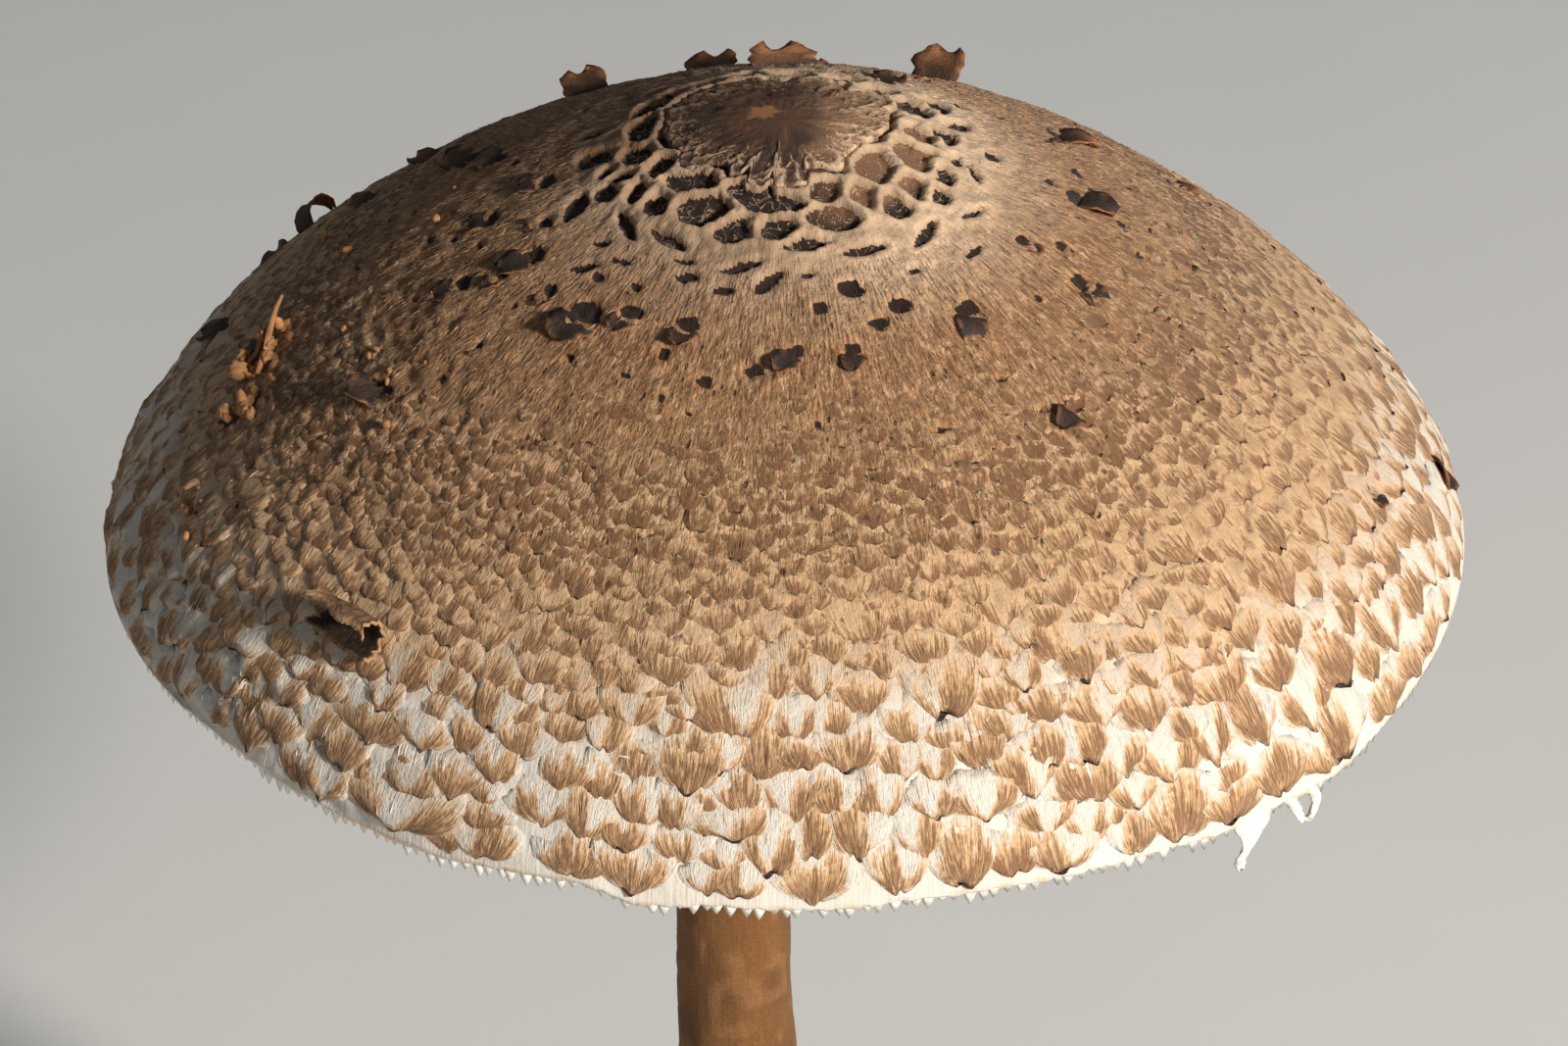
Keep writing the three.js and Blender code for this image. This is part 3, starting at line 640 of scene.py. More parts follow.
def scaleShade():
    # how much brown lies near each part of the cap: the scales' own, dropped on the grid and blurred
    up, fan = np.meshgrid(np.linspace(0, 1, 9), np.linspace(-1, 1, 13), indexing="ij")
    scale = pickScales(slice(None), 2)
    arc, angle = onScale(fan, up, scale)
    row = np.interp(arc, gridArcs, np.arange(len(gridArcs))).round().astype(int)
    column = (angle / fullTurn * gridSize["columns"]).round().astype(int) % gridSize["columns"]
    shade = np.zeros_like(arcField)
    np.maximum.at(shade, (row, column), scaleBrown(fan, up, scale))
    for _ in range(2):
        for axis in (0, 1):
            shade = (np.roll(shade, 1, axis) + shade + np.roll(shade, -1, axis)) / 3
    return shade


# loose flakes: distance from the axis, bearing, length, width, lean, curl and twist
standingFlakes = [
    (63, 149, 8.5, 2.6, -0.2, 3.0, 1.5), (65, 153, 3.4, 4.0, 0.9, 0.6, 1.2),
    (63, 170, 5.0, 3.4, 0.7, 1.2, 0.4), (57, 185, 5.0, 3.0, 0.4, 1.7, 1.1),
    (60, 192, 3.6, 3.0, 0.7, 1.4, 0.3), (49, 208, 4.6, 4.4, 0.3, 0.7, 0.5),
    (72, 0, 5.0, 3.6, 0.5, 1.6, 1.3), (49, 28, 3.4, 3.0, 0.8, 1.0, 0.3), (36, 32, 4.6, 4.2, 0.6, 1.4, 0.4),
    (41, 66, 5.2, 5.6, 0.1, 1.0, 0.1), (22, 61, 2.8, 4.0, 0.8, 0.8, 0.2),
    (30, 90, 3.6, 7.4, 0.5, 0.7, -0.4), (41, 102, 3.8, 5.6, 0.4, 0.9, 0.5),
    (43, 121, 4.4, 4.8, 0.3, 1.0, 0.3), (32, 228, 4.4, 5.2, 1.1, 0.5, 0.2),
    (30, 237, 3.0, 3.0, 0.9, 0.8, 0.3), (30, 250, 3.0, 3.0, 1.0, 0.5, 0.1),
    (32, 272, 3.6, 2.8, 0.7, 0.9, 0.7), (32, 283, 3.2, 2.6, 0.8, 0.9, 0.3),
    (31, 309, 4.0, 3.4, 0.5, 2.0, 0.5), (28, 295, 2.6, 2.4, 1.0, 0.4, 0.2),
    (25, 286, 2.6, 3.0, 1.0, 0.4, 0.1), (28, 336, 2.6, 2.0, 0.9, 0.7, 0.2),
    (35, 336, 3.8, 3.6, 0.6, 1.8, 0.3), (32, 2, 4.6, 4.2, 0.5, 1.7, 0.3),
    (44, 314, 3.8, 3.2, 0.5, 1.4, 1.2), (30, 206, 4.2, 3.6, 0.9, 0.9, 0.2),
    (37, 200, 3.8, 3.0, 0.9, 1.1, 0.3), (32, 186, 3.6, 3.0, 0.6, 1.6, 0.2),
    (39, 155, 4.2, 4.4, 0.6, 1.2, 0.3), (34, 159, 4.0, 4.0, 0.5, 1.6, 0.2),
    (26, 180, 3.6, 3.4, 0.9, 0.8, 0.2), (51, 155, 3.6, 3.0, 0.7, 1.0, 0.2),
    (49, 144, 3.6, 3.4, 0.7, 1.0, 0.2), (66, 344, 2.6, 2.2, 0.9, 0.6, 0.4),
    (52, 308, 2.2, 1.6, 1.0, 0.5, 0.2),
]
smallFlakes = {"count": 80, "nearest": 27.0, "spread": 22.0, "seed": 33}


def layFlakes():
    # the flakes named above, and seeded small ones that thin out away from the umbo and keep off the others
    draw = np.random.default_rng(smallFlakes["seed"])
    rows = [(r, math.radians(b), *rest) for r, b, *rest in standingFlakes]
    while len(rows) < len(standingFlakes) + smallFlakes["count"]:
        radius = smallFlakes["nearest"] + smallFlakes["spread"] * draw.random() ** 1.5
        angle = fullTurn * draw.random()
        spot = np.array([radius * math.cos(angle), radius * math.sin(angle)])
        others = np.array([[r[0] * math.cos(r[1]), r[0] * math.sin(r[1])] for r in rows])
        if np.hypot(*(others - spot).T).min() < 3.1:
            continue
        size = draw.uniform(0.45, 1.0) * (1 if radius < 36 else 0.65)
        rows.append((radius, angle, 2.6 * size, 2.5 * size, draw.uniform(0.85, 1.3), draw.uniform(0.2, 0.9),
                     draw.uniform(-0.6, 0.6)))
    return np.array(rows)


def stampFlakes(placed):
    # under each flake a small pit that is painted dark, partly dark skin and partly painted shade under the
    # flake, with a thin paler rim where the felt is torn
    pit, rim = np.zeros((2,) + arcField.shape)
    for radius, angle, _, width, *_ in placed:
        arc = arcAt(radius)
        size = 0.26 * width + 0.22
        window = fieldWindow(arc, angle, 3 * size, 3 * size, 3.2 * size)
        aside = radiusField[window] * nearTurn(angleField[window] - angle)
        along = arcField[window] - arc
        far = np.hypot(aside / 1.3, along + 0.35 * size) / size
        far = far + 0.3 * ripple(arcField[window], angleField[window], 0.8, 420, 9)
        pit[window] = np.maximum(pit[window], smooth(1.15, 0.7, far))
        rim[window] = np.maximum(rim[window], np.exp(-(((far - 1.3) / 0.22) ** 2)))
    return pit, rim


netHeight, netWall, netFloor = netField()
placedScales = layScales()
placedFlakes = layFlakes()
flakePit, flakeRim = stampFlakes(placedFlakes)
print(f"cap: {len(placedScales['arc'])} scales, {len(placedFlakes)} flakes, {len(gridArcs)} rings")


def capHeight():
    # net, tufts, pits and slow swells together, in millimetres above the dome
    swell = 0.22 * ripple(arcField, angleField, 7.0, 36, 2) + 0.06 * ripple(arcField, angleField, 1.6, 240, 3)
    tufts = 0.1 * ripple(arcField, angleField, 1.3, 150, 8)
    tufts = tufts + 0.12 * ripple(arcField, angleField, 0.85, 300, 5)
    crumbs = 0.3 * ripple(arcField, angleField, 1.2, 260, 6) * leftward(angleField) * smooth(34, 44, arcField)
    tufts = tufts + crumbs
    height = netHeight + (swell + tufts) * smooth(9, 17, arcField)
    return height - 0.4 * flakePit


def capGround():
    # what lies between the scales: felt inside, torn pale flesh outside, and the walls of the net by the umbo
    c = capColours
    mottle = 0.5 + 0.5 * ripple(arcField, angleField, 5.0, 60, 14)
    fine = 0.5 + 0.5 * ripple(arcField, angleField, 0.9, 500, 15)
    out = arcField - 8 * leftward(angleField)
    tanned = 5.5 * smooth(0.2, 0.9, np.cos(angleField + math.radians(8.0)))
    torn = smooth(arcAt(51), arcAt(67), out - tanned + 3 * ripple(arcField, angleField, 6.0, 40, 16))
    ground = blend(c["felt"], c["feltLight"], 0.5 * fine * smooth(arcAt(30), arcAt(44), out))
    ground = blend(ground, c["feltPale"], smooth(arcAt(38), arcAt(50), out) * smooth(0.3, 0.8, fine))
    ground = blend(ground, blend(c["fleshWarm"], c["flesh"], torn), torn)
    nearUmbo = 1 - smooth(22, 36, arcField)
    x, y = radiusField * np.cos(angleField), radiusField * np.sin(angleField)
    pale = np.clip(0.35 * mottle + 0.25 * fine + 0.5 * smooth(-4, 16, x), 0, 1)
    walls = blend(c["ridge"], c["ridgePale"], pale)
    # darker on the left and back: partly the cords' own darker tone, partly painted shade on the side away
    # from the key lamp
    walls = blend(walls, c["feltDark"], 0.75 * smooth(-2, -12, x) * smooth(-9, 3, y))
    ground = blend(ground, walls, nearUmbo)
    ground = blend(ground, c["feltDark"], nearUmbo * (1 - netWall) * 0.4)
    ground = blend(ground, c["rust"], 0.45 * flakeRim)
    brown = scaleShade() * smooth(arcAt(40), arcAt(50), arcField)
    stained = blend(c["feltPale"], c["halo"], torn)
    ground = blend(ground, stained, blend(0.7, 0.3, torn) * smooth(0.06, 0.8, brown))
    return ground, np.clip(netFloor + flakePit, 0, 1)


heightField = capHeight()
groundField, sunkField = capGround()
feltField = smooth(arcAt(60), arcAt(48), arcField - 8 * leftward(angleField))
# what the cap's paint reads: how far a place is felt, and how far it is sunk
coverField = np.stack([feltField, sunkField, 0 * sunkField], -1)


def onGrid(field, arc, angle):
    # a field of the grid read at any place, straight between its points
    row = np.interp(arc, gridArcs, np.arange(len(gridArcs)))
    column = (angle % fullTurn) / fullTurn * gridSize["columns"]
    i, j = np.floor(row).astype(int), np.floor(column).astype(int)
    i = np.clip(i, 0, len(gridArcs) - 2)
    fi, fj = row - i, column - j
    if field.ndim == 3:
        fi, fj = fi[..., None], fj[..., None]
    j, k = j % gridSize["columns"], (j + 1) % gridSize["columns"]
    return (field[i, j] * (1 - fj) + field[i, k] * fj) * (1 - fi) + (
        field[i + 1, j] * (1 - fj) + field[i + 1, k] * fj) * fi


feltLook = {"Roughness": 0.95, "Specular IOR Level": 0.15, "Sheen Weight": 0.1}


def solid(colour):
    # a colour as a socket takes it
    return (*colour, 1.0)


def feltPaint():
    # the cap's own surface: felt round the umbo, with fine streaks that run outwards, tufts, and small pits
    # painted dark, partly as shade at the tufts' feet, and pale torn flesh further out. The floors of the net
    # are dark and cracked, and the pits under flakes dark too: partly dark skin, partly painted shade in the
    # hollows
    c = capColours
    paint = Paint("capFelt", feltLook)
    spot = paint.place()
    ground = paint.tint()
    felt, sunk, _ = paint.parts(paint.kept("cover"))
    wide, radius = roundAxis(paint, spot, 230.0)
    inner, _ = roundAxis(paint, spot, 110.0)
    broad, _ = roundAxis(paint, spot, 34.0)
    far = paint.step(radius, 32.0, 48.0)
    streak = paint.noise(inner, 1.0, 2.0, 0.6) * (1 - far) + paint.noise(wide, 1.0, 2.0, 0.6) * far
    tuft = paint.noise(broad, 1.0, 2.0, 0.6, 0.6)
    grain = paint.noise(spot, 3.2, 3.0, 0.65)
    tone = streak * 0.62 + tuft * 0.38
    felted = paint.mix(paint.step(tone, 0.34, 0.5), solid(c["feltDark"]), ground)
    felted = paint.mix(paint.step(tone, 0.5, 0.7), felted, solid(c["feltLight"]))
    web = paint.step(paleWeb(paint, broad), 0.1, 0.02) * paint.step(tuft + streak * 0.6, 0.66, 0.95)
    felted = paint.mix(web * paint.step(radius, 22.0, 34.0) * 0.75, felted, solid(c["feltPale"]))
    colour = paint.mix(felt * paint.step(radius, 20.0, 28.0) * 0.85, ground, felted)
    # painted shade, in part: sunk places, the net's floors and the pits under flakes, take the dark floor
    # colour, partly dark skin and partly shade in the hollows; where they are bare on the right they are tan
    rightward = paint.parts(spot)[0] + (grain - 0.5) * 6
    bare = paint.step(rightward, axisX + 0.5, axisX + 9.5) * paint.step(radius, 17.0, 15.0)
    bottom = paint.mix(bare * 0.8, solid(c["floor"]), solid(c["floorTan"]))
    colour = paint.mix(paint.step(sunk + (grain - 0.5) * 0.35, 0.4, 0.6), colour, bottom)
    worm = wormLines(paint, spot, 0.55)
    cracks = worm * paint.step(grain, 0.4, 0.5) * sunk * paint.step(radius, 24.0, 17.0)
    colour = paint.mix(cracks * 0.5, colour, solid(c["ridgePale"]))
    # the small pits are painted dark: partly dark gaps, partly painted shade at the feet of tufts
    pits = smallPits(paint, broad, radius)
    colour = paint.mix(pits * 0.75, colour, solid(c["scaleDark"]))
    napped = felt * paint.step(radius, 18.0, 27.0)
    light = paint.step(streak, 0.3, 0.7) * (0.12 + 0.43 * napped) + (0.92 - 0.2 * napped)
    paint.connect("Base Color", paint.shade(colour, light))
    lump = paint.noise(spot, 1.3, 2.0, 0.6)
    rough = streak * (napped * 0.35 + 0.25) + (lump * 0.9 + grain * 0.3) * (felt * 0.4 + napped * 0.4 + 0.2)
    rough = rough + cracks * 0.5 - pits * 0.6
    paint.connect("Normal", paint.bump(rough, 0.45, 0.9))
    paint.connect("Roughness", 0.82 + grain * 0.18)
    return paint.material


def smallPits(paint, broad, radius):
    # small pits in the felt, where some points of a scattered set lie, painted dark: partly dark gaps, partly
    # painted shade at the feet of tufts
    points = paint.node("ShaderNodeTexVoronoi", {}, {"Vector": broad, "Scale": 1.0})
    some = paint.step(paint.node("ShaderNodeSeparateColor", {}, {0: points.output("Color")}), 0.55, 0.6)
    spots = paint.step(points, 0.24, 0.1) * some
    return spots * paint.step(radius, 25.0, 30.0) * paint.step(radius, 62.0, 54.0)


def paleWeb(paint, broad):
    # how far a place is from the borders of wavering cells, two or three millimetres across
    bend = paint.noise(broad, 1.3, 2.0, 0.6).output("Color")
    values = {0: bend, 1: (1.4, 1.4, 1.4), 2: broad}
    moved = paint.node("ShaderNodeVectorMath", {"operation": "MULTIPLY_ADD"}, values)
    borders = {"feature": "DISTANCE_TO_EDGE"}
    return paint.node("ShaderNodeTexVoronoi", borders, {"Vector": moved, "Scale": 0.7})


def wormLines(paint, spot, scale):
    # pale ridges that wander like worms: where a smooth noise passes its middle value
    field = paint.noise(spot, scale, 1.0, 0.5, 1.2)
    return paint.step(paint.node("ShaderNodeMath", {"operation": "ABSOLUTE"}, [field - 0.5]), 0.035, 0.012)


def scalePaint():
    # scales: strands run along each fan, dark at the foot and brown above it, and fray one by one through
    # orange tan into the pale flesh. "strand" is the place in the fan in millimetres, with a number for
    # each scale, and "cover" holds how brown it is, how dark its foot, and how far the flesh round it is
    # torn open
    c = capColours
    paint = Paint("scales", feltLook)
    broad, radius = roundAxis(paint, paint.place(), 34.0)
    ground = paint.tint()
    strand = paint.kept("strand")
    brown, tip, torn = paint.parts(paint.kept("cover"))

    def along(across, upward):
        values = {0: strand, 1: (across, upward, 1.0)}
        stretched = paint.node("ShaderNodeVectorMath", {"operation": "MULTIPLY"}, values)
        return paint.noise(stretched, 1.0, 2.0, 0.55, 0.3)

    fine, hairs, bundle, lobe = along(9.0, 0.8), along(4.6, 0.35), along(2.2, 0.4), along(0.8, 0.3)
    blot = paint.noise(paint.place(), 1.5, 2.0, 0.6)
    inside = paint.step(brown, 0.0, 0.4)
    broken = (bundle - 0.5) * 0.9 + (lobe - 0.5) * 0.9 + (blot - 0.5) * 0.8 + (hairs - 0.5) * torn * 1.1
    level = brown * (torn * 0.2 + 0.7) + (torn * -0.25 + 0.25 + broken * (torn * -0.4 + 1.4)) * inside
    deep = paint.mix(torn, solid(c["feltDark"]), solid(c["scaleDeep"]))
    body = paint.mix(torn, solid(c["felt"]), solid(c["scale"]))
    light = paint.mix(torn, solid(c["feltLight"]), solid(c["scalePale"]))
    warm = paint.mix(torn, solid(c["feltPale"]), solid(c["halo"]))
    colour = paint.mix(paint.step(level + (fine - 0.5) * 0.3, 0.02, 0.36), ground, warm)
    colour = paint.mix(paint.step(level + (fine - 0.5) * 0.5, 0.22, 0.6), colour, light)
    colour = paint.mix(paint.step(level + (fine - 0.5) * 0.7, 0.45, 0.95), colour, body)
    hair = paint.step(hairs * 0.65 + fine * 0.35 + level * 0.2, 0.53, 0.74)
    colour = paint.mix(hair * paint.step(level, 0.15, 0.6) * 0.85, colour, deep)
    colour = paint.mix(paint.step(tip + (hairs - 0.5) * 0.5, 0.08, 0.5) * 0.75, colour, deep)
    colour = paint.mix(paint.step(tip + (fine - 0.5) * 0.6, 0.35, 0.9), colour, solid(c["scaleDark"]))
    # the small pits are painted dark: partly dark gaps, partly painted shade at the feet of tufts
    pits = smallPits(paint, broad, radius)
    colour = paint.mix(pits * 0.75, colour, solid(c["scaleDark"]))
    paint.connect("Base Color", colour)
    lump = paint.noise(paint.place(), 1.3, 2.0, 0.6)
    paint.connect("Normal", paint.bump(fine * 0.6 + bundle * 0.3 + lump * 0.8 - pits * 0.6, 0.35, 0.9))
    paint.connect("Roughness", 0.8 + fine * 0.2)
    return paint.material


def strandPaint():
    # fine strands and tufts of the scales: their own tint with a little grain
    paint = Paint("strands", feltLook)
    spot = paint.place()
    grain = paint.noise(spot, 5.0, 2.0, 0.6)
    tint = paint.tint()
    paint.connect("Base Color", paint.shade(tint, 0.8 + grain * 0.4))
    paint.connect("Roughness", 0.8 + grain * 0.2)
    return paint.material


capFelt = feltPaint()
scaleMaterial = scalePaint()
strandMaterial = strandPaint()


capWall = {"hollowRadius": 73.2, "hollowRise": 41.0, "hollowPower": 1.6, "hollowShoulder": 0.66}


def hollowHeight(radius, outer, rise):
    # rise * (1 - (r / outer) ^ power) ^ shoulder, the inner side of the cap
    share = np.clip(radius / outer, 0, 1)
    return rise * (1 - share ** capWall["hollowPower"]) ** capWall["hollowShoulder"]


def stitch(coarseStart, fineStart, half, columns):
    # triangles between a ring of points and one with twice as many
    i = np.arange(half)
    a, b = coarseStart + i, coarseStart + (i + 1) % half
    p, q, s = fineStart + 2 * i, fineStart + 2 * i + 1, fineStart + (2 * i + 2) % columns
    return np.concatenate([np.stack([a, p, q], -1), np.stack([a, q, b], -1), np.stack([b, q, s], -1)])


def lipRings():
    # the margin's edge, crumbly and white: four rings from the dome round to the hollow
    columns = gridSize["columns"]
    still = np.zeros(columns)
    crumbs = np.random.default_rng(42).uniform(-1, 0.35, columns)
    ragged = 0.2 * ripple(still, gridAngles, 1.0, 300, 40)
    ragged = ragged + 0.15 * ripple(still, gridAngles, 1.0, 80, 41) + 0.4 * crumbs
    lift = marginLift(dome["radius"], gridAngles)
    rings = []
    for radius, height, share in [(75.1, -0.15, 0.5), (74.9, -0.5, 1.0), (74.3, -0.5, 0.7), (73.9, 0.1, 0.0)]:
        height = dome["marginHeight"] + height + lift + share * ragged
        rings.append(roundPoint(radius + 0.2 * share * ragged, gridAngles, height))
    return np.stack(rings)


def buildCap():
    # the dome's grid, coarser near the umbo, then round the lip and back under to the axis
    columns = gridSize["columns"]
    half = columns // 2
    innerRows, outerRows = len(innerArcs), len(outerArcs)
    surface = onDome(arcField, angleField, heightField)
    pole = onDome(np.zeros(1), np.zeros(1), np.full(1, -0.3))
    lip = lipRings()
    underRadius = capWall["hollowRadius"] * np.cos(np.linspace(0.02, math.pi / 2 * 0.96, 9))
    r, a = np.meshgrid(underRadius, gridAngles[::2], indexing="ij")
    rise = hollowHeight(r, capWall["hollowRadius"], capWall["hollowRise"])
    under = roundPoint(r, a, dome["marginHeight"] + rise + marginLift(r, a) + 0.15)
    underPole = np.array([[axisX, axisY, dome["marginHeight"] + capWall["hollowRise"] + 0.15]])

    def split(field):
        return [field[:innerRows, ::2].reshape(-1, 3), field[innerRows:].reshape(-1, 3)]

    points = [pole, *split(surface), lip.reshape(-1, 3), under.reshape(-1, 3), underPole]
    starts = np.cumsum([0] + [len(part) for part in points])
    lastOuter = starts[4] - columns
    faces = [
        fanFaces(0, 1, half),
        gridFaces(innerRows, half, first=starts[1]),
        stitch(starts[2] - half, starts[2], half, columns),
        gridFaces(outerRows + len(lip), columns, first=starts[2]),
        stitch(starts[4], lastOuter, half, columns)[:, ::-1],
        gridFaces(len(underRadius), half, first=starts[4]),
        fanFaces(starts[5], starts[5] - half, half, turned=True),
    ]
    rest = sum(len(part) for part in points[3:])
    worn = np.stack([share * smooth(0.0, 0.8, ripple(np.zeros(columns), gridAngles, 1.0, 260, 45))
                     for share in (0.8, 0.3, 0, 0)]).ravel()
    edge = blend(capColours["flesh"], capColours["halo"], worn)
    inside = np.tile(capColours["flesh"], (rest - len(edge), 1))
    colours = np.concatenate([capColours["floor"][None], *split(groundField), edge, inside])
    nothing = np.zeros((rest, 3))
    vectors = {"cover": np.concatenate([np.zeros((1, 3)), *split(coverField), nothing])}
    piece = makePiece("cap", capFelt, np.concatenate(points), faces, colours, vectors)
    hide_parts("cap")


buildCap()


# name, nearest and furthest distance of the feet from the axis, points across and up each scale, strands on
# them and how wide those are
scalePieces = {
    "marginScales": (64.5, 76.0, 12, 8, 15000, 0.12),
    "outerScales": (55.0, 64.5, 9, 7, 12000, 0.11),
    "middleScales": (36.0, 55.0, 7, 6, 18000, 0.11),
}


def scalesBetween(nearest, furthest):
    # the numbers of the scales whose feet are between two distances from the axis
    reach = radiusAt(placedScales["arc"])
    return np.flatnonzero((reach >= nearest) & (reach < furthest))


def buildScales(name, nearest, furthest, across, upward):
    # every scale is a grid of points that lies on the cap, closed underneath by triangles to a point below
    chosen = scalesBetween(nearest, furthest)
    count, size = len(chosen), across * upward
    scale = pickScales(chosen, 2)
    up, fan = np.meshgrid(np.linspace(0, 1, upward) ** 1.2, np.linspace(-1, 1, across), indexing="ij")
    arc, angle = onScale(fan, up, scale)
    lift = onGrid(heightField, arc, angle) + scaleLift(fan, up, scale)
    middle = [field.reshape(count, size)[:, size // 2] for field in (arc, angle, lift - 0.9)]
    below = onDome(*middle)
    points = np.concatenate([onDome(arc, angle, lift).reshape(count, size, 3), below[:, None]], 1)
    top, border = sheetGrid(upward, across)
    under = np.stack([np.full(len(border), size), np.roll(border, -1), border], -1)
    first = np.arange(count)[:, None, None] * (size + 1)
    colours = np.zeros((count, size + 1, 3))
    colours[:, :size] = onGrid(groundField, arc, angle).reshape(count, size, 3)
    colours[:, size] = capColours["scaleDeep"]
    number = np.arange(count)[:, None, None] * 7.31
    half = np.where(fan < 0, scale["left"], scale["right"])
    strand, cover = np.zeros((2, count, size + 1, 3))
    alongFan = np.broadcast_arrays(fan * half, up * scale["length"], number)
    strand[:, :size] = np.stack(alongFan, -1).reshape(count, size, 3)
    shades = np.broadcast_arrays(scaleBrown(fan, up, scale), scaleTip(fan, up, scale), scale["torn"])
    cover[:, :size] = np.stack(shades, -1).reshape(count, size, 3)
    faces = [(first + top).reshape(-1, 4), (first + under).reshape(-1, 3)]
    vectors = {"strand": strand, "cover": cover}
    piece = makePiece(name, scaleMaterial, points, faces, colours, vectors)
    # the top takes most of the scale's square in the map, and the underside a strip above it
    onTop = np.stack([0.5 + 0.45 * fan, 0.04 + 0.76 * up], -1).reshape(size, 2)
    turn = np.arange(len(border)) / len(border) * fullTurn
    onUnder = np.full((size + 1, 2), [0.5, 0.9])
    onUnder[border] += np.stack([0.42 * np.cos(turn), 0.06 * np.sin(turn)], -1)
    squareMap(piece, count, [onTop[top], onUnder[under]])


for name, (nearest, furthest, across, upward, _, _) in scalePieces.items():
    buildScales(name, nearest, furthest, across, upward)


def alongStops(level, names):
    # colours of the cap read at levels from 0 to 1, evenly from the first name to the last
    stops = np.array([capColours[name] for name in names])
    place = np.linspace(0, 1, len(names))
    return np.stack([np.interp(level, place, stops[:, i]) for i in range(3)], -1)


def strandTone(level, radius, mixed, ground):
    # the colour of a strand that is like the ground at level 0 and brown at level 1: greyer felt inside,
    # and torn scales that go through orange tan outside
    level = np.clip(level + 0.34 * (mixed - 0.5), 0, 1)
    felt = alongStops(level, ["feltPale", "feltPale", "felt", "feltDark"])
    scale = alongStops(level, ["halo", "halo", "scalePale", "scale", "scaleDeep"])
    return blend(ground, blend(felt, scale, smooth(48, 63, radius)), smooth(0.0, 0.35, level))


# a spike's four faces, and where its four corners are in its own square of the map
strandFaces = np.array([[0, 2, 1], [0, 3, 2], [1, 2, 3], [0, 1, 3]])
strandSquare = np.array([[0.15, 0.2], [0.15, 0.8], [0.35, 0.5], [0.85, 0.5]])


def buildStrands(name, arcs, angles, lifts, width, rootColour, tipColour):
    # slender spikes that lie on the cap, each from one place to another: two corners at its root, a ridge
    # a little way on, and a point
    count = len(arcs)
    arcs = np.minimum(arcs, rimArc - 0.02)
    lift = onGrid(heightField, arcs, angles) + lifts
    radius = radiusAt(arcs[:, 0])
    along = arcs[:, 1] - arcs[:, 0]
    aside = radius * nearTurn(angles[:, 1] - angles[:, 0])
    size = np.hypot(along, aside) + 1e-6
    halfArc, halfAngle = -aside / size * width / 2, along / size * width / 2 / radius
    left = onDome(arcs[:, 0] - halfArc, angles[:, 0] - halfAngle, lift[:, 0] - 0.03)
    right = onDome(arcs[:, 0] + halfArc, angles[:, 0] + halfAngle, lift[:, 0] - 0.03)
    point = onDome(arcs[:, 1], angles[:, 1], lift[:, 1])
    ridge = onDome(arcs[:, 0] + 0.25 * along, angles[:, 0] + 0.25 * aside / radius,
                   lift[:, 0] + 0.25 * (lifts[:, 1] - lifts[:, 0]) + 0.18 * width)
    points = np.stack([left, right, ridge, point], 1)
    faces = (np.arange(count)[:, None, None] * 4 + strandFaces).reshape(-1, 3)
    share = np.array([0.0, 0.0, 0.25, 1.0])[None, :, None]
    colours = rootColour[:, None, :] * (1 - share) + tipColour[:, None, :] * share
    piece = makePiece(name, strandMaterial, points, [faces], colours, smoothFaces=False)
    squareMap(piece, count, [strandSquare[strandFaces]])


def buildFans(name, nearest, furthest, count, thickness, seed):
    # strands that stand off the scales a little and follow their fans, paler where they fray
    draw = np.random.default_rng(seed)
    chosen = scalesBetween(nearest, furthest)
    area = np.cumsum(placedScales["width"][chosen] * placedScales["length"][chosen])
    who = chosen[np.searchsorted(area / area[-1], draw.random(count))]
    scale = pickScales(who, 1)
    fan = draw.uniform(-1.12, 1.12, count)[:, None]
    start = 0.82 * draw.random(count) ** 0.9
    ups = start[:, None] + draw.uniform(0.12, 0.26, count)[:, None] * np.array([0.0, 1.0])
    arcs, angles = onScale(fan, ups, scale)
    mixed = draw.random(count)[:, None]
    left = smooth(0.3, 0.75, scaleBrown(fan, ups, scale) + 0.4 * (mixed - 0.5))
    inner = radiusAt(arcs[:, 0])
    ground = onGrid(groundField, arcs, angles)
    root = strandTone(left[:, 0], inner, mixed[:, 0], ground[:, 0])
    end = strandTone(left[:, 1] - 0.05, inner, mixed[:, 0], ground[:, 1])
    dark = np.clip(1.3 * scaleTip(fan, ups, scale) - 0.2 - 0.3 * mixed, 0, 1)
    root = blend(root, capColours["scaleDark"], dark[:, 0])
    end = blend(end, capColours["scaleDark"], dark[:, 1])
    raised = np.maximum(scaleLift(fan, ups, scale), 0.0)
    raised[:, 1] += 0.03 + (0.05 + 0.02 * scale["width"][:, 0]) * draw.random(count) ** 2
    thick = thickness * draw.uniform(0.7, 1.25, count)
    keep = onGrid(flakePit, arcs[:, 0], angles[:, 0]) < 0.4
    buildStrands(name, arcs[keep], angles[keep], raised[keep], thick[keep], root[keep], end[keep])


napStrands = {"count": 26000, "inner": 22.0, "border": 44.0, "length": 0.9, "width": 0.12, "seed": 61}


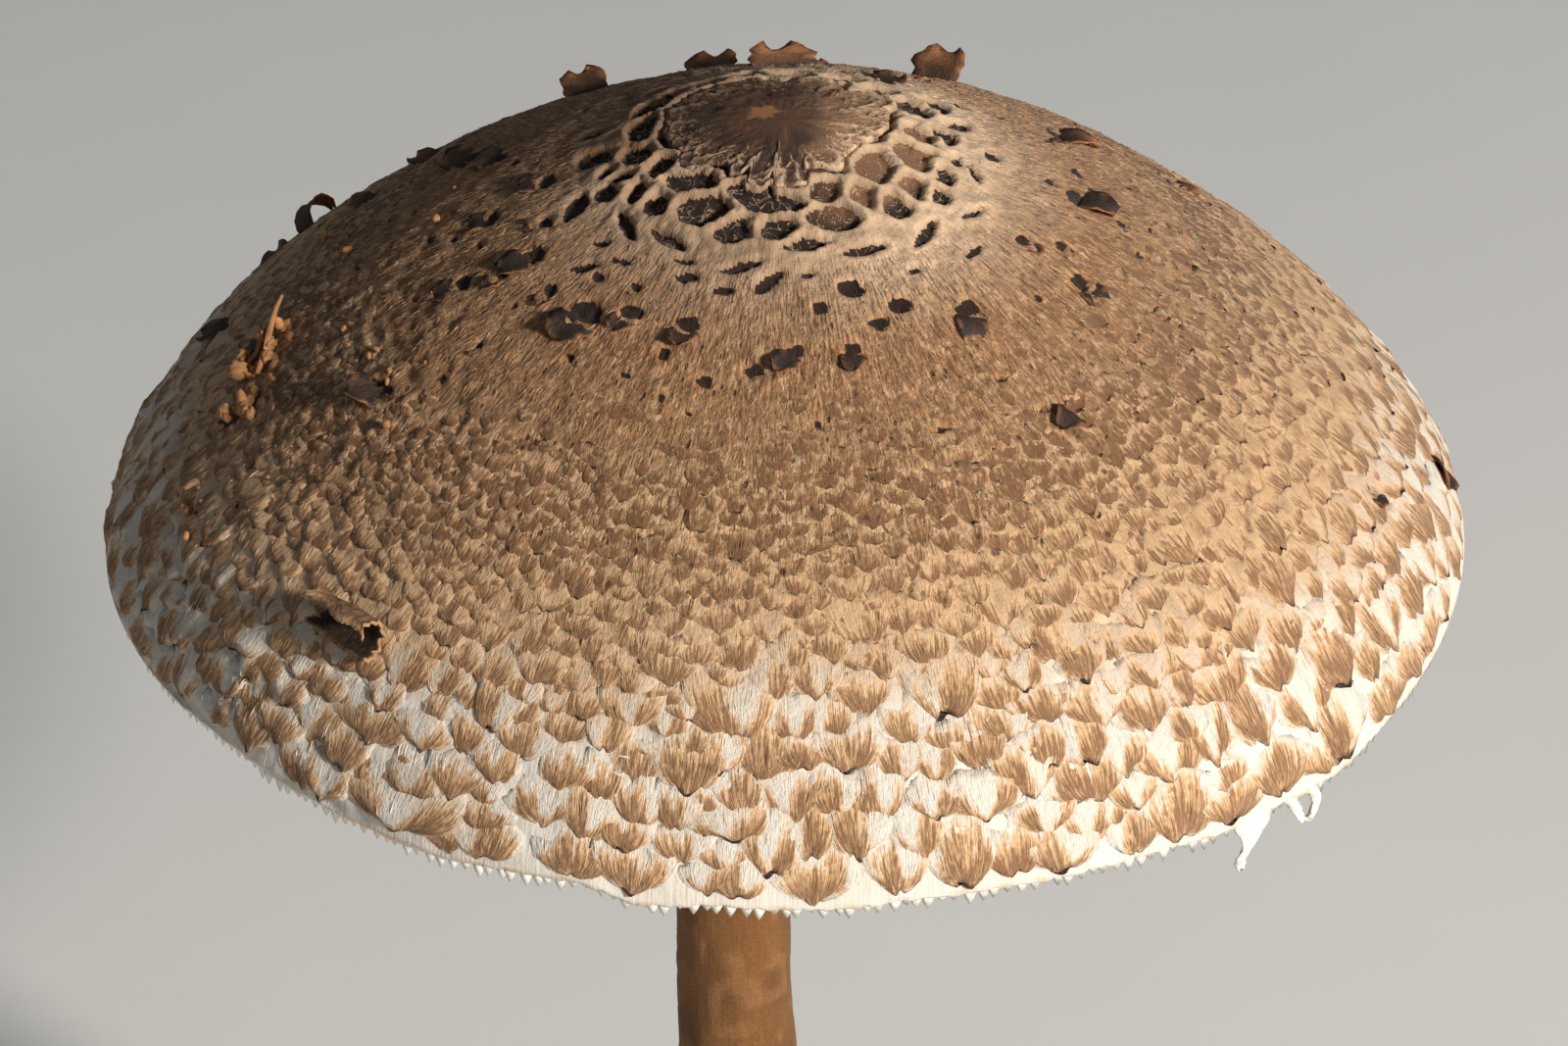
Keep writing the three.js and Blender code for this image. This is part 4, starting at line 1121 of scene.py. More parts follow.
def buildNap():
    # the nap of the felt round the umbo: short strands that run outwards, their outer ends lifted a little
    draw = np.random.default_rng(napStrands["seed"])
    total = napStrands["count"]
    low, high = napStrands["inner"], napStrands["border"]
    radius = np.sqrt(draw.uniform(0, 1, total) * (high ** 2 - low ** 2) + low ** 2)
    arc, angle = arcAt(radius), draw.uniform(0, fullTurn, total)
    length = napStrands["length"] * draw.uniform(0.65, 1.3, total)
    share = np.array([0.0, 1.0])
    arcs = arc[:, None] + length[:, None] * share
    angles = angle[:, None] + (length * draw.normal(0, 0.24, total) / radius)[:, None] * share
    mixed = draw.random(total)
    tones = alongStops(mixed, ["feltDark", "felt", "feltPale"])
    root = blend(onGrid(groundField, arc, angle), tones, 0.7 * smooth(20, 30, radius))
    root = root * (0.8 + 0.35 * mixed)[:, None]
    end = blend(root, capColours["feltPale"], 0.08 + 0.22 * mixed)
    lifts = np.stack([np.full(total, -0.02), 0.04 + 0.16 * draw.random(total) ** 2], -1)
    width = napStrands["width"] * draw.uniform(0.7, 1.25, total)
    keep = onGrid(sunkField, arcs, angles).max(1) < 0.05
    buildStrands("feltNap", arcs[keep], angles[keep], lifts[keep], width[keep], root[keep], end[keep])


for number, (name, (nearest, furthest, _, _, count, width)) in enumerate(scalePieces.items()):
    buildFans(name.replace("Scales", "Strands"), nearest, furthest, count, width, 51 + number)
buildNap()


def buildDisc():
    # a disc of skin with a ragged edge, which dips under the wall of the net round it, and a back underneath
    columns = disc["columns"]
    angles = np.arange(columns) / columns * fullTurn
    edge = discEdge(angles) + 0.5
    s, a = np.meshgrid(np.linspace(0.02, 1, disc["rings"]), angles, indexing="ij")
    radius = s * edge
    arc = arcAt(radius)
    x, y = radius * np.cos(a), radius * np.sin(a)
    inward = smooth(1.5, 6, radius)
    wrinkle = (0.1 * ripple(arc, a, 0.7, 90, 72) + 0.08 * ripple(arc, a, 1.9, 30, 73)) * inward
    # pale ridges run in from the edge on wavering bearings, each to its own depth, and fork near the edge.
    # They are widest and palest where the disc faces right
    facing = 0.5 + 0.5 * np.cos(a - math.radians(-40))
    wander = 0.12 * ripple(arc, a, 1.7, 24, 77) + 0.05 * ripple(arc, a, 0.8, 60, 79)
    starts = 0.62 + 0.22 * ripple(arc, a, 9.0, 40, 78) - 0.12 * facing
    wide = 0.1 + 0.8 * smooth(starts, 1.05, s) * (0.35 + 0.65 * facing)
    rays = smooth(wide, 0.3 * wide, np.abs(np.sin(11 * (a + wander))))
    forks = smooth(wide, 0.3 * wide, np.abs(np.sin(23 * (a - 1.2 * wander))))
    forks = forks * smooth(starts + 0.14, starts + 0.24, s)
    branch = np.maximum(rays * smooth(starts, starts + 0.12, s), forks)
    rim = 0.1 * smooth(0.8, 0.97, s)
    top = onDome(arc, a, disc["lift"] + wrinkle + disc["ridge"] * branch + rim - 0.8 * smooth(0.98, 1.0, s))
    backShare, backAngle = np.meshgrid([0.97, 0.6, 0.2], angles, indexing="ij")
    back = onDome(arcAt(backShare * edge), backAngle, np.full(backShare.shape, -0.35))
    poles = onDome(np.zeros(2), np.zeros(2), np.array([disc["lift"], -0.35]))
    starX, starY = (disc["starAt"][0] * turn(disc["starAt"][1]) for turn in (math.cos, math.sin))
    away, bearing = np.hypot(x - starX, y - starY), np.arctan2(y - starY, x - starX)
    rays = 1 + 0.12 * np.cos(5 * bearing + 0.4) + 0.1 * np.cos(8 * bearing + 1) + 0.08 * np.cos(13 * bearing)
    star = smooth(1.25, 0.7, away / (disc["starSize"] * rays))
    dark, brown, tan = linear(62, 46, 39), linear(100, 72, 55), linear(182, 142, 108)
    mottle = 0.5 + 0.5 * ripple(arc, a, 2.6, 22, 74) * inward
    colour = blend(dark, brown, mottle * 0.8)
    colour = blend(colour, linear(112, 78, 58), smooth(6.5, 2.5, away) * 0.6)
    right = smooth(0, 7.5, x + 2.4 * ripple(arc, a, 2.0, 20, 75)) * (0.55 + 0.45 * mottle)
    colour = blend(colour, tan, 0.85 * right)
    colour = blend(colour, blend(capColours["ridge"], capColours["ridgePale"], facing), branch * 0.85)
    colour = blend(colour, linear(172, 122, 82), star)
    everything = np.concatenate([poles[:1], top.reshape(-1, 3), back.reshape(-1, 3), poles[1:]])
    rest = len(everything) - 1 - s.size
    colours = np.concatenate([dark[None], colour.reshape(-1, 3), np.tile(dark, (rest, 1))])
    worn = np.zeros((len(everything), 3))
    worn[1:1 + s.size, 0] = (smooth(0.45, 0.85, s) * (0.35 + 0.65 * mottle) + 0.5 * right).ravel()
    rows = disc["rings"] + len(backShare)
    last = len(everything) - 1
    faces = [fanFaces(0, 1, columns), gridFaces(rows, columns, first=1),
             fanFaces(last, last - columns, columns, turned=True)]
    piece = makePiece("umboSkin", discPaint(), everything, faces, colours, {"worn": worn})
    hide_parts("cap_disc")


def discPaint():
    # dark skin with pale wandering cracks, which are only where it is worn
    paint = Paint("umboSkin", {"Roughness": 0.75, "Specular IOR Level": 0.35})
    spot = paint.place()
    tint = paint.tint()
    worn, _, _ = paint.parts(paint.kept("worn"))
    breaks = paint.step(paint.noise(spot, 1.3, 2.0, 0.6), 0.4, 0.52)
    line = wormLines(paint, spot, 0.9) * breaks * worn
    grain = paint.noise(spot, 4.0, 3.0, 0.7)
    colour = paint.shade(tint, 0.7 + grain * 0.6)
    paint.connect("Base Color", paint.mix(line, colour, solid(linear(196, 156, 124))))
    paint.connect("Normal", paint.bump(grain * 0.6 + line * 0.8, 0.3, 0.8))
    paint.connect("Roughness", 0.6 + grain * 0.3)
    return paint.material


buildDisc()


flakeShape = {"along": 8, "across": 6, "thickness": 0.3, "seed": 81}


def flakePaint():
    # leathery skin: each point's own tint, darkened and pitted by one grain
    paint = Paint("curledSkin", {"Roughness": 0.7, "Specular IOR Level": 0.4})
    spot = paint.place()
    grain = paint.noise(spot, 3.0, 3.0, 0.65)
    tint = paint.tint()
    paint.connect("Base Color", paint.shade(tint, 0.6 + grain * 0.8))
    paint.connect("Normal", paint.bump(grain, 0.25, 0.9))
    paint.connect("Roughness", 0.5 + grain * 0.3)
    return paint.material


curledSkin = flakePaint()


def sheetFaces(rows, columns):
    # the faces of a sheet with thickness: its first face, the second one turned over, and the wall round them
    size = rows * columns
    top, border = sheetGrid(rows, columns)
    after = np.roll(border, -1)
    wall = np.stack([border, border + size, after + size, after], -1)
    return np.concatenate([top, top[:, ::-1] + size, wall])


def buildFlakes():
    # each flake is a patch that leaves the cap at its root, leans outwards and bends more and more towards
    # its end. Its outline is ragged, and a second face below it gives it its thickness
    draw = np.random.default_rng(flakeShape["seed"])
    radius, angle, length, width, lean, curl, twist = (placedFlakes[:, i][:, None, None] for i in range(7))
    count = len(placedFlakes)
    nv, nu = flakeShape["along"], flakeShape["across"]
    v = np.linspace(0, 1, nv)[None, :, None]
    u = np.linspace(-1, 1, nu)[None, None, :]
    ragged = 1 + 0.13 * draw.uniform(-1, 1, (count, nv, 2))
    edge = np.where(u < 0, ragged[:, :, :1], ragged[:, :, 1:])
    outline = (0.8 + 0.3 * np.sin(math.pi * np.clip(v, 0, 1)) - 0.35 * v ** 3) * edge
    endCut = 1 - 0.22 * draw.random((count, 1, nu)) * v ** 2
    aside = 0.5 * width * u * outline
    bend = lean + curl * (v * endCut)
    steps = length * endCut / (nv - 1)
    out = np.cumsum(np.sin(bend) * steps, 1) - np.sin(bend[:, :1]) * steps
    up = np.cumsum(np.cos(bend) * steps, 1) - np.cos(bend[:, :1]) * steps
    cup = 0.16 * width * u ** 2 * v
    normalOut, normalUp = -np.cos(bend), np.sin(bend)
    rough = 0.07 * draw.uniform(-1, 1, (count, nv, nu))
    arc = arcAt(radius)
    base = onGrid(heightField, arc[:, 0, 0], angle[:, 0, 0])[:, None, None] - 0.3
    half = flakeShape["thickness"] / 2
    points, colours = [], []
    dark, brown, tan = linear(42, 32, 28), linear(76, 56, 46), linear(190, 128, 80)
    warm = smooth(0.1, 0.8, np.sin(angle)) * smooth(20, 30, radius)
    for side in (1, -1):
        push = cup + rough + side * half * (1 - 0.5 * v)
        o = out + normalOut * push
        h = up + normalUp * push
        turnedAside = aside * np.cos(twist) - o * np.sin(twist)
        turnedOut = aside * np.sin(twist) + o * np.cos(twist)
        points.append(onDome(arc + turnedOut, angle + turnedAside / radius, base + h))
        shade = draw.random((count, nv, nu))
        face = blend(dark, brown, shade * 0.8) if side > 0 else blend(brown, tan, 0.25 + 0.6 * shade)
        face = blend(face, tan, warm * (0.1 + 0.8 * v ** 2) * (0.5 + 0.5 * shade))
        rim = np.maximum(np.abs(u) > 0.99, v > 0.99) & (draw.random((count, nv, nu)) < 0.5)
        colours.append(np.where(rim[..., None], blend(face, tan, 0.55), face))
    points, colours = np.stack(points, 1), np.stack(colours, 1)
    faces = (np.arange(count)[:, None, None] * 2 * nv * nu + sheetFaces(nv, nu)).reshape(-1, 4)
    makePiece("looseFlakes", curledSkin, points, [faces], colours)


buildFlakes()

# a flap of felt that has rolled up: where its middle is, its length, and the roll's radius and thickness
flap = {"radius": 65.6, "bearing": 226.5, "turn": -4.0, "length": 8.6, "roll": 1.9, "thickness": 0.45,
        "starts": -172, "sweep": 244, "along": 40, "round": 22, "seed": 84}


def buildFlap():
    # the sheet lies on the cap, rises on the umbo's side and rolls over outwards, open on its outer side
    draw = np.random.default_rng(flap["seed"])
    t, share = np.meshgrid(np.linspace(-1, 1, flap["along"]), np.linspace(0, 1, flap["round"]), indexing="ij")
    ends = 0.16 * draw.uniform(-1, 1, (1, flap["round"]))
    torn = 0.1 * draw.uniform(-1, 1, (flap["along"], 1)) + 0.12 * np.sin(5 * t + 1)
    sweep = flap["sweep"] + 12 * np.sin(2.2 * t + 0.6) + 40 * torn + 24 * np.abs(t) ** 6
    turned = np.radians(flap["starts"] + sweep * share)
    size = flap["roll"] * (1 + 0.1 * np.sin(3 * t + 0.5) + 0.1 * t ** 4) + 0.07 * draw.uniform(-1, 1, t.shape)
    along = flap["length"] / 2 * t * (1 + ends * t ** 4)
    middle, bearing, way = arcAt(flap["radius"]), math.radians(flap["bearing"]), math.radians(flap["turn"])
    points, colours = [], []
    grain = draw.random(t.shape)
    outside = blend(linear(86, 62, 46), linear(150, 116, 86), grain)
    # painted shade: the roll's inner face is painted near black for the shadow in its hollow
    inside = blend(linear(30, 21, 17), linear(62, 43, 31), grain)
    rim = np.maximum(smooth(0.9, 1.0, share), smooth(0.93, 1.0, np.abs(t)))
    for push, colour in ((0.5, outside), (-0.5, inside)):
        reach = size + push * flap["thickness"] * (1 - 0.5 * share ** 3)
        across, height = -reach * np.cos(turned), flap["roll"] * 1.3 + reach * np.sin(turned)
        out = across * math.cos(way) - along * math.sin(way)
        aside = across * math.sin(way) + along * math.cos(way)
        base = onGrid(heightField, middle + out, bearing + aside / flap["radius"])
        points.append(onDome(middle + out, bearing + aside / flap["radius"], base * 0.5 + height - 0.1))
        colours.append(blend(colour, linear(206, 158, 110), rim * 0.75))
    faces = sheetFaces(flap["along"], flap["round"])[:, ::-1]
    makePiece("rolledFlap", curledSkin, np.stack(points), [faces], np.stack(colours))


buildFlap()

# crumbs on the cap: distance from the axis, bearing, how many, how far they are strewn, and their size
crumbHeaps = [(57.5, 187, 16, 1.8, 0.75), (55, 183, 7, 1.0, 0.7), (60, 192, 12, 1.4, 0.7),
              (66.3, 198, 9, 1.6, 0.6), (46, 170, 8, 5.0, 0.35), (52, 200, 14, 7.0, 0.35)]
# twigs: where each begins and ends, with heights over the cap, and its thickness
twigs = [((57.6, 188.0, 0.6), (53.0, 181.0, 2.6), 0.42), ((58.6, 185.4, 0.4), (55.6, 184.0, 2.2), 0.36)]


def buildCrumbs():
    # lumps and twigs: rings of points along an axis, swollen in the middle and closed at both ends
    draw = np.random.default_rng(87)
    rows, around = 7, 9
    t = np.linspace(0, 1, rows)[:, None]
    turn = np.arange(around)[None] / around * fullTurn
    points, colours = [], []
    tan, rust, deep = linear(196, 146, 98), linear(178, 116, 70), linear(110, 74, 48)
    spots = []
    for radius, bearing, count, strewn, size in crumbHeaps:
        for x, y in draw.normal(0, strewn, (count, 2)):
            lump = size * draw.uniform(0.5, 1.4)
            lift = 0.4 * lump + 0.5 * lump * draw.random()
            reach = 1.2 * lump * draw.normal(0, 1, 3)
            spots.append((arcAt(radius) + x, math.radians(bearing) + y / radius, lift, reach, lump))
    for (radius, bearing, low), (endRadius, endBearing, high), thick in twigs:
        aside = math.radians(endBearing - bearing) * radius
        reach = np.array([arcAt(endRadius) - arcAt(radius), aside, high - low])
        spots.append((arcAt(radius), math.radians(bearing), low, reach, thick))
    for arc, angle, lift, reach, thick in spots:
        swell = np.sin(math.pi * np.clip(t * 0.86 + 0.07, 0, 1)) ** 0.5 * thick
        size = swell * (1 + 0.28 * draw.uniform(-1, 1, (rows, around)))
        axis = reach / np.linalg.norm(reach)
        side = np.cross(axis, [0.31, 0.52, 0.8])
        side = side / np.linalg.norm(side)
        other = np.cross(axis, side)
        ring = side * (np.cos(turn) * size)[..., None] + other * (np.sin(turn) * size)[..., None]
        middle = np.array([arc, 0, lift]) + reach * t
        spot = middle[:, None] + ring
        spot = np.concatenate([spot.reshape(-1, 3), middle[:1], middle[-1:]])
        base = onGrid(heightField, spot[:, 0], angle + spot[:, 1] / radiusAt(arc))
        points.append(onDome(spot[:, 0], angle + spot[:, 1] / radiusAt(arc), base + spot[:, 2]))
        tone = draw.random((len(spot), 1))
        colours.append(blend(blend(deep, rust, draw.random()), tan, tone * 0.9))
    size = rows * around + 2
    near = fanFaces(size - 2, 0, around, turned=True)
    far = fanFaces(size - 1, (rows - 1) * around, around)
    first = np.arange(len(points))[:, None, None] * size
    walls = (first + gridFaces(rows, around)).reshape(-1, 4)[:, ::-1]
    ends = (first + np.concatenate([near, far])).reshape(-1, 3)
    makePiece("crumbs", strandMaterial, np.stack(points), [walls, ends], np.stack(colours))


buildCrumbs()


gillShape = {"full": 85, "sections": 13, "inner": 11.3, "outer": 74.7,
             "rootWidth": 0.55, "edgeWidth": 0.3, "endWidth": 1.45,
             "edgeRadius": 74.6, "edgeRise": 31.0, "edgePower": 1.9, "edgeShoulder": 0.75, "drop": 2.0,
             "plateRadius": 72.8, "plateRise": 40.3, "plate": 0.9,
             "boreRadius": 6.2, "collarWidth": 2.6, "collarDepth": 3.2, "seed": 91}
stemLean = {"top": -1.5, "bow": 5.2, "height": 189.9}


def gillPaint():
    # cream flesh, a little darker towards the edge of each blade
    paint = Paint("gillFlesh", {"Roughness": 0.85, "Specular IOR Level": 0.25, "Subsurface Weight": 0.15,
                                "Subsurface Radius": (0.002, 0.0012, 0.0008), "Subsurface Scale": 1.0})
    spot = paint.place()
    tint = paint.tint()
    grain = paint.noise(spot, 2.2, 3.0, 0.6)
    paint.connect("Base Color", paint.shade(tint, 0.84 + grain * 0.3))
    paint.connect("Normal", paint.bump(grain, 0.12, 0.6))
    paint.connect("Roughness", 0.75 + grain * 0.2)
    return paint.material


def plateTop(radius):
    # the upper side of the layer that the blades hang from
    return hollowHeight(radius, gillShape["plateRadius"], gillShape["plateRise"])


def gillEdge(radius):
    # the free edges: a lower dome than the plate's, which passes below the margin at its end
    share = np.clip(radius / gillShape["edgeRadius"], 0, 1)
    domePart = gillShape["edgeRise"] * (1 - share ** gillShape["edgePower"]) ** gillShape["edgeShoulder"]
    return domePart - gillShape["drop"] * share ** 12


def underCap(radius, angle, height):
    # a point under the cap. The bore follows the stem, which stands a little off the axis
    shift = stemLean["top"] * np.clip((30 - radius) / 20, 0, 1)
    x = axisX + shift + radius * np.cos(angle)
    z = dome["marginHeight"] + height + marginLift(radius, angle)
    return np.stack([x, axisY + radius * np.sin(angle), z], -1)


def gillBlades(angles, inner, depthShare, draw):
    # thin blades from the plate down to their edge: eight points a section, and a round tooth at the margin
    count, sections = len(angles), gillShape["sections"]
    share = np.sin(np.linspace(0, math.pi / 2, sections))[None, :]
    inner = inner * np.ones(count)
    radius = inner[:, None] + (gillShape["outer"] - inner[:, None]) * share
    root = np.minimum(plateTop(radius) - 0.5, plateTop(radius + 0.5) - 0.35)
    root = np.where(radius > 72.2, np.maximum(root, 0.25), root)
    full = gillEdge(radius)
    rise = smooth(0, 0.18, (radius - inner[:, None]) / (gillShape["outer"] - inner[:, None]))
    depthHere = blend(depthShare, 1.0, smooth(62, 73, radius))
    edge = root + (full - root) * np.clip(rise * depthHere, 0.04, 1)
    edge = edge + 0.12 * draw.uniform(-1, 1, edge.shape) * smooth(0, 0.4, share)
    edge = edge + draw.uniform(-0.15, 0.9, (count, 1)) * smooth(72.5, 74.0, radius)
    ending = smooth(71.5, 73.8, radius)
    rootHalf = blend(gillShape["rootWidth"], gillShape["endWidth"], ending) / 2
    edgeHalf = blend(gillShape["edgeWidth"], gillShape["endWidth"] * 0.9, ending) / 2
    fit = np.clip(radius * fullTurn / (gillShape["full"] * 4) * 0.8, 0.22, 1)
    fit = fit * (1 + 0.5 * ending)
    rootHalf, edgeHalf = np.minimum(rootHalf, fit * 0.5), np.minimum(edgeHalf, fit * 0.5)
    sway = 0.18 * draw.uniform(-1, 1, (count, 1)) * np.sin(share * 5 + draw.uniform(0, 6, (count, 1)))
    # each pair of corners: how deep it is, how wide inside, and how wide at the margin, where it tapers
    rows = []
    for depth, inside, atEnd in [(0.0, 1, 1), (0.4, 1, 1), (0.7, 1, 0.62), (1.0, 0.6, 0.06)]:
        half = blend(rootHalf, edgeHalf, depth) * blend(inside, atEnd, ending)
        rows.append((root + (edge - root) * depth, half))
    rows = [(height, -half) for height, half in rows] + rows[::-1]
    stack = []
    for height, offset in rows:
        lean = sway * (root - height) / 8
        stack.append(underCap(radius, angles[:, None] + (offset + lean) / radius, height))
    points = np.stack(stack, 2)
    around = points.shape[2]
    starts = np.arange(count)[:, None, None] * sections * around
    walls = (starts + gridFaces(sections, around)).reshape(-1, 4)
    ends = (starts + endFaces(around, (sections - 1) * around)).reshape(-1, 3)
    tone = draw.uniform(0, 1, (count, 1, 1))
    deep = np.linspace(0, 1, around // 2)
    deep = np.concatenate([deep, deep[::-1]])[None, None, :]
    shade = np.clip(0.5 * tone + 0.35 * deep, 0, 1) * np.ones((count, sections, around))
    colours = blend(linear(232, 222, 200), linear(214, 198, 170), shade)
    colours = blend(colours, linear(238, 233, 222), (ending[:, :, None] * np.ones((1, 1, around))) * 0.8)
    return points.reshape(-1, 3), walls, ends, colours.reshape(-1, 3)


def gillPlate():
    # the thin layer that the blades hang from, and the collar round the stem: one profile turned round
    g = gillShape
    radii = g["plateRadius"] * np.cos(np.linspace(0.03, math.pi / 2 * 0.905, 12))
    outside = [(r, plateTop(r)) for r in radii]
    collarEdge = g["boreRadius"] + g["collarWidth"]
    collar = [
        (g["boreRadius"], plateTop(g["boreRadius"]) - 0.2),
        (g["boreRadius"], plateTop(g["boreRadius"]) - g["plate"] - g["collarDepth"] + 0.4),
        (g["boreRadius"] + 0.5, plateTop(g["boreRadius"]) - g["plate"] - g["collarDepth"]),
        (collarEdge - 0.6, plateTop(collarEdge) - g["plate"] - g["collarDepth"]),
        (collarEdge, plateTop(collarEdge) - g["plate"] - g["collarDepth"] + 0.6),
        (collarEdge, plateTop(collarEdge) - g["plate"] - 0.4),
        (collarEdge + 1.0, plateTop(collarEdge + 1.0) - g["plate"]),
    ]
    inside = [(max(r - 0.3, 9.5), plateTop(r) - g["plate"]) for r in radii[::-1][1:-1]]
    edge = [(radii[0] - 0.3, -0.15)]
    profile = np.array(outside + collar + inside + edge)
    columns = 360
    angles = np.arange(columns) / columns * fullTurn
    radius, a = np.meshgrid(profile[:, 0], angles, indexing="ij")
    height = np.repeat(profile[:, 1][:, None], columns, 1)
    points = underCap(radius, a, height).reshape(-1, 3)
    colours = np.tile(linear(226, 212, 186), (len(points), 1))
    return points, gridFaces(len(profile), columns, loop=True)[:, ::-1], colours


def buildGills():
    # blades in three lengths, from the stem, from half way and from near the margin
    draw = np.random.default_rng(gillShape["seed"])
    full = gillShape["full"]
    quarter = (np.arange(full * 4) + draw.uniform(-0.24, 0.24, full * 4)) / (full * 4) * fullTurn
    groups = [(quarter[0::4], gillShape["inner"], 1.0), (quarter[2::4], 34.0, 0.85),
              (np.concatenate([quarter[1::4], quarter[3::4]]), 54.0, 0.6)]
    points, walls, colours = gillPlate()
    allPoints, allQuads, allTriangles, allColours = [points], [walls], [], [colours]
    count = len(points)
    for angles, inner, depth in groups:
        starts = inner + draw.uniform(-1, 2.5, len(angles)) * (inner > 20)
        points, walls, ends, colours = gillBlades(angles, starts, depth, draw)
        allPoints.append(points)
        allQuads.append(walls + count)
        allTriangles.append(ends + count)
        allColours.append(colours)
        count += len(points)
    piece = makePiece("gills", gillPaint(), np.concatenate(allPoints),
                      [np.concatenate(allQuads), np.concatenate(allTriangles)], np.concatenate(allColours))
    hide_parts("gills")


buildGills()


stemShape = {"columns": 110, "rings": 250}
stemProfile = {
    "height": [0, 0.7, 2.5, 8, 15, 22, 30, 40, 60, 90, 130, 189.9],
    "radius": [15.4, 16.4, 17.7, 18.5, 17.2, 13.3, 9.8, 7.9, 7.1, 6.5, 6.1, 5.8],
}


def stemRadius(height):
    return np.interp(height, stemProfile["height"], stemProfile["radius"])


def stemCentre(height):
    # the stem bows to one side between its two ends
    share = height / stemLean["height"]
    return stemLean["top"] * share - stemLean["bow"] * np.sin(math.pi * share) ** 2


def roundedRadius(height):
    # the profile's corners eased by averaging over a few millimetres
    around = np.linspace(-3, 3, 7)
    spread = np.clip(height[..., None] + around * smooth(0, 8, height)[..., None], 0, stemLean["height"])
    return stemRadius(spread).mean(-1)


def stemPaint():
    # brown felt with tiny cross flecks, paler above the ring and on the bulb
    paint = Paint("stemFelt", {"Roughness": 0.9, "Specular IOR Level": 0.25, "Sheen Weight": 0.08})
    spot = paint.place()
    tint = paint.tint()
    squeezed = paint.node("ShaderNodeMapping", {}, {"Vector": spot, "Scale": (1.0, 1.0, 3.4)})
    cross = paint.noise(squeezed, 1.6, 3.0, 0.65)
    stretched = paint.node("ShaderNodeMapping", {}, {"Vector": spot, "Scale": (1.0, 1.0, 0.12)})
    along = paint.noise(stretched, 3.6, 3.0, 0.6)
    grain = paint.noise(spot, 4.5, 2.0, 0.6)
    nap = cross * 0.45 + along * 0.3 + grain * 0.25
    paint.connect("Base Color", paint.shade(tint, paint.step(nap, 0.32, 0.68) * 0.5 + 0.75))
    paint.connect("Normal", paint.bump(nap, 0.3, 0.8))
    paint.connect("Roughness", 0.8 + grain * 0.18)
    return paint.material


def buildStem():
    # the profile turned round a bowed centre line, lumpy at the bulb, with low felt bands up the shaft, and
    # closed by flat ends
    columns, rings = stemShape["columns"], stemShape["rings"]
    heights = np.concatenate([[0, 0.25, 0.7, 1.4], np.linspace(2.2, stemLean["height"], rings - 4)])
    angles = np.arange(columns) / columns * fullTurn
    z, a = np.meshgrid(heights, angles, indexing="ij")
    radius = roundedRadius(z)
    bulb = smooth(34, 22, z)
    lump = 0.5 * waveRound(a, 2, 0.4) * smooth(0, 6, z)
    lump = lump + 0.45 * ripple(z, a, 6.0, 14, 101) + 0.2 * ripple(z, a, 1.6, 60, 102)
    shaft = smooth(28, 40, z) * smooth(118, 108, z)
    band = ripple(z + 1.3 * ripple(z, a, 3.0, 12, 103), a, 1.9, 26, 104)
    radius = radius + lump * bulb * smooth(0, 1.5, z) + 0.09 * smooth(0.0, 0.5, band) * shaft
    radius = radius + 0.05 * ripple(z, a, 0.9, 70, 105) + 0.12 * ripple(z, a, 14, 7, 106)
    x = axisX + stemCentre(z) + radius * np.cos(a)
    y = axisY + radius * np.sin(a)
    points = np.stack([x, y, z], -1)
    brown, deep, cream = linear(126, 85, 46), linear(104, 68, 36), linear(222, 204, 172)
    colour = blend(deep, brown, 0.5 + 0.5 * ripple(z, a, 5.0, 16, 107))
    colour = blend(colour, linear(150, 108, 70), 0.4 * smooth(0.1, 0.6, band) * shaft)
    colour = blend(colour, cream, 0.75 * smooth(120, 132, z))
    bent, shifted = z + 1.8 * ripple(z, a, 3.0, 20, 108), a + 0.14 * ripple(z, a, 2.4, 24, 109)
    dirt = 0.55 * ripple(bent, shifted, 2.4, 30, 110) + 0.4 * ripple(bent, shifted, 1.1, 70, 115)
    soiled = blend(cream, linear(150, 118, 84), smooth(-0.5, 0.7, dirt))
    colour = blend(colour, soiled, smooth(30, 10, z) * 0.75)
    ends = np.array([[axisX + stemCentre(end), axisY, end] for end in (0.0, stemLean["height"])])
    everything = np.concatenate([ends[:1], points.reshape(-1, 3), ends[1:]])
    colours = np.concatenate([cream[None], colour.reshape(-1, 3), cream[None]])
    colours[1:1 + columns] = linear(206, 188, 156)
    faces = [fanFaces(0, 1, columns, turned=True), gridFaces(rings, columns, first=1)[:, ::-1],
             fanFaces(len(everything) - 1, len(everything) - 1 - columns, columns)]
    piece = makePiece("stem", stemPaint(), everything, faces, colours)
    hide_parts("stem")


buildStem()


ringShape = {"height": 114.0, "columns": 220, "ragged": 0.7}


def veilPaint():
    # fluffy cream veil
    paint = Paint("veil", {"Roughness": 0.95, "Specular IOR Level": 0.2, "Sheen Weight": 0.15,
                           "Subsurface Weight": 0.1, "Subsurface Radius": (0.002, 0.0015, 0.001)})
    spot = paint.place()
    grain = paint.noise(spot, 2.8, 3.0, 0.7)
    fluff = paint.noise(spot, 0.9, 2.0, 0.6)
    tint = paint.tint()
    paint.connect("Base Color", paint.shade(tint, 0.75 + grain * 0.35 + fluff * 0.15))
    paint.connect("Normal", paint.bump(grain + fluff, 0.3, 0.8))
    paint.connect("Roughness", 0.85 + grain * 0.15)
    return paint.material


veil = veilPaint()


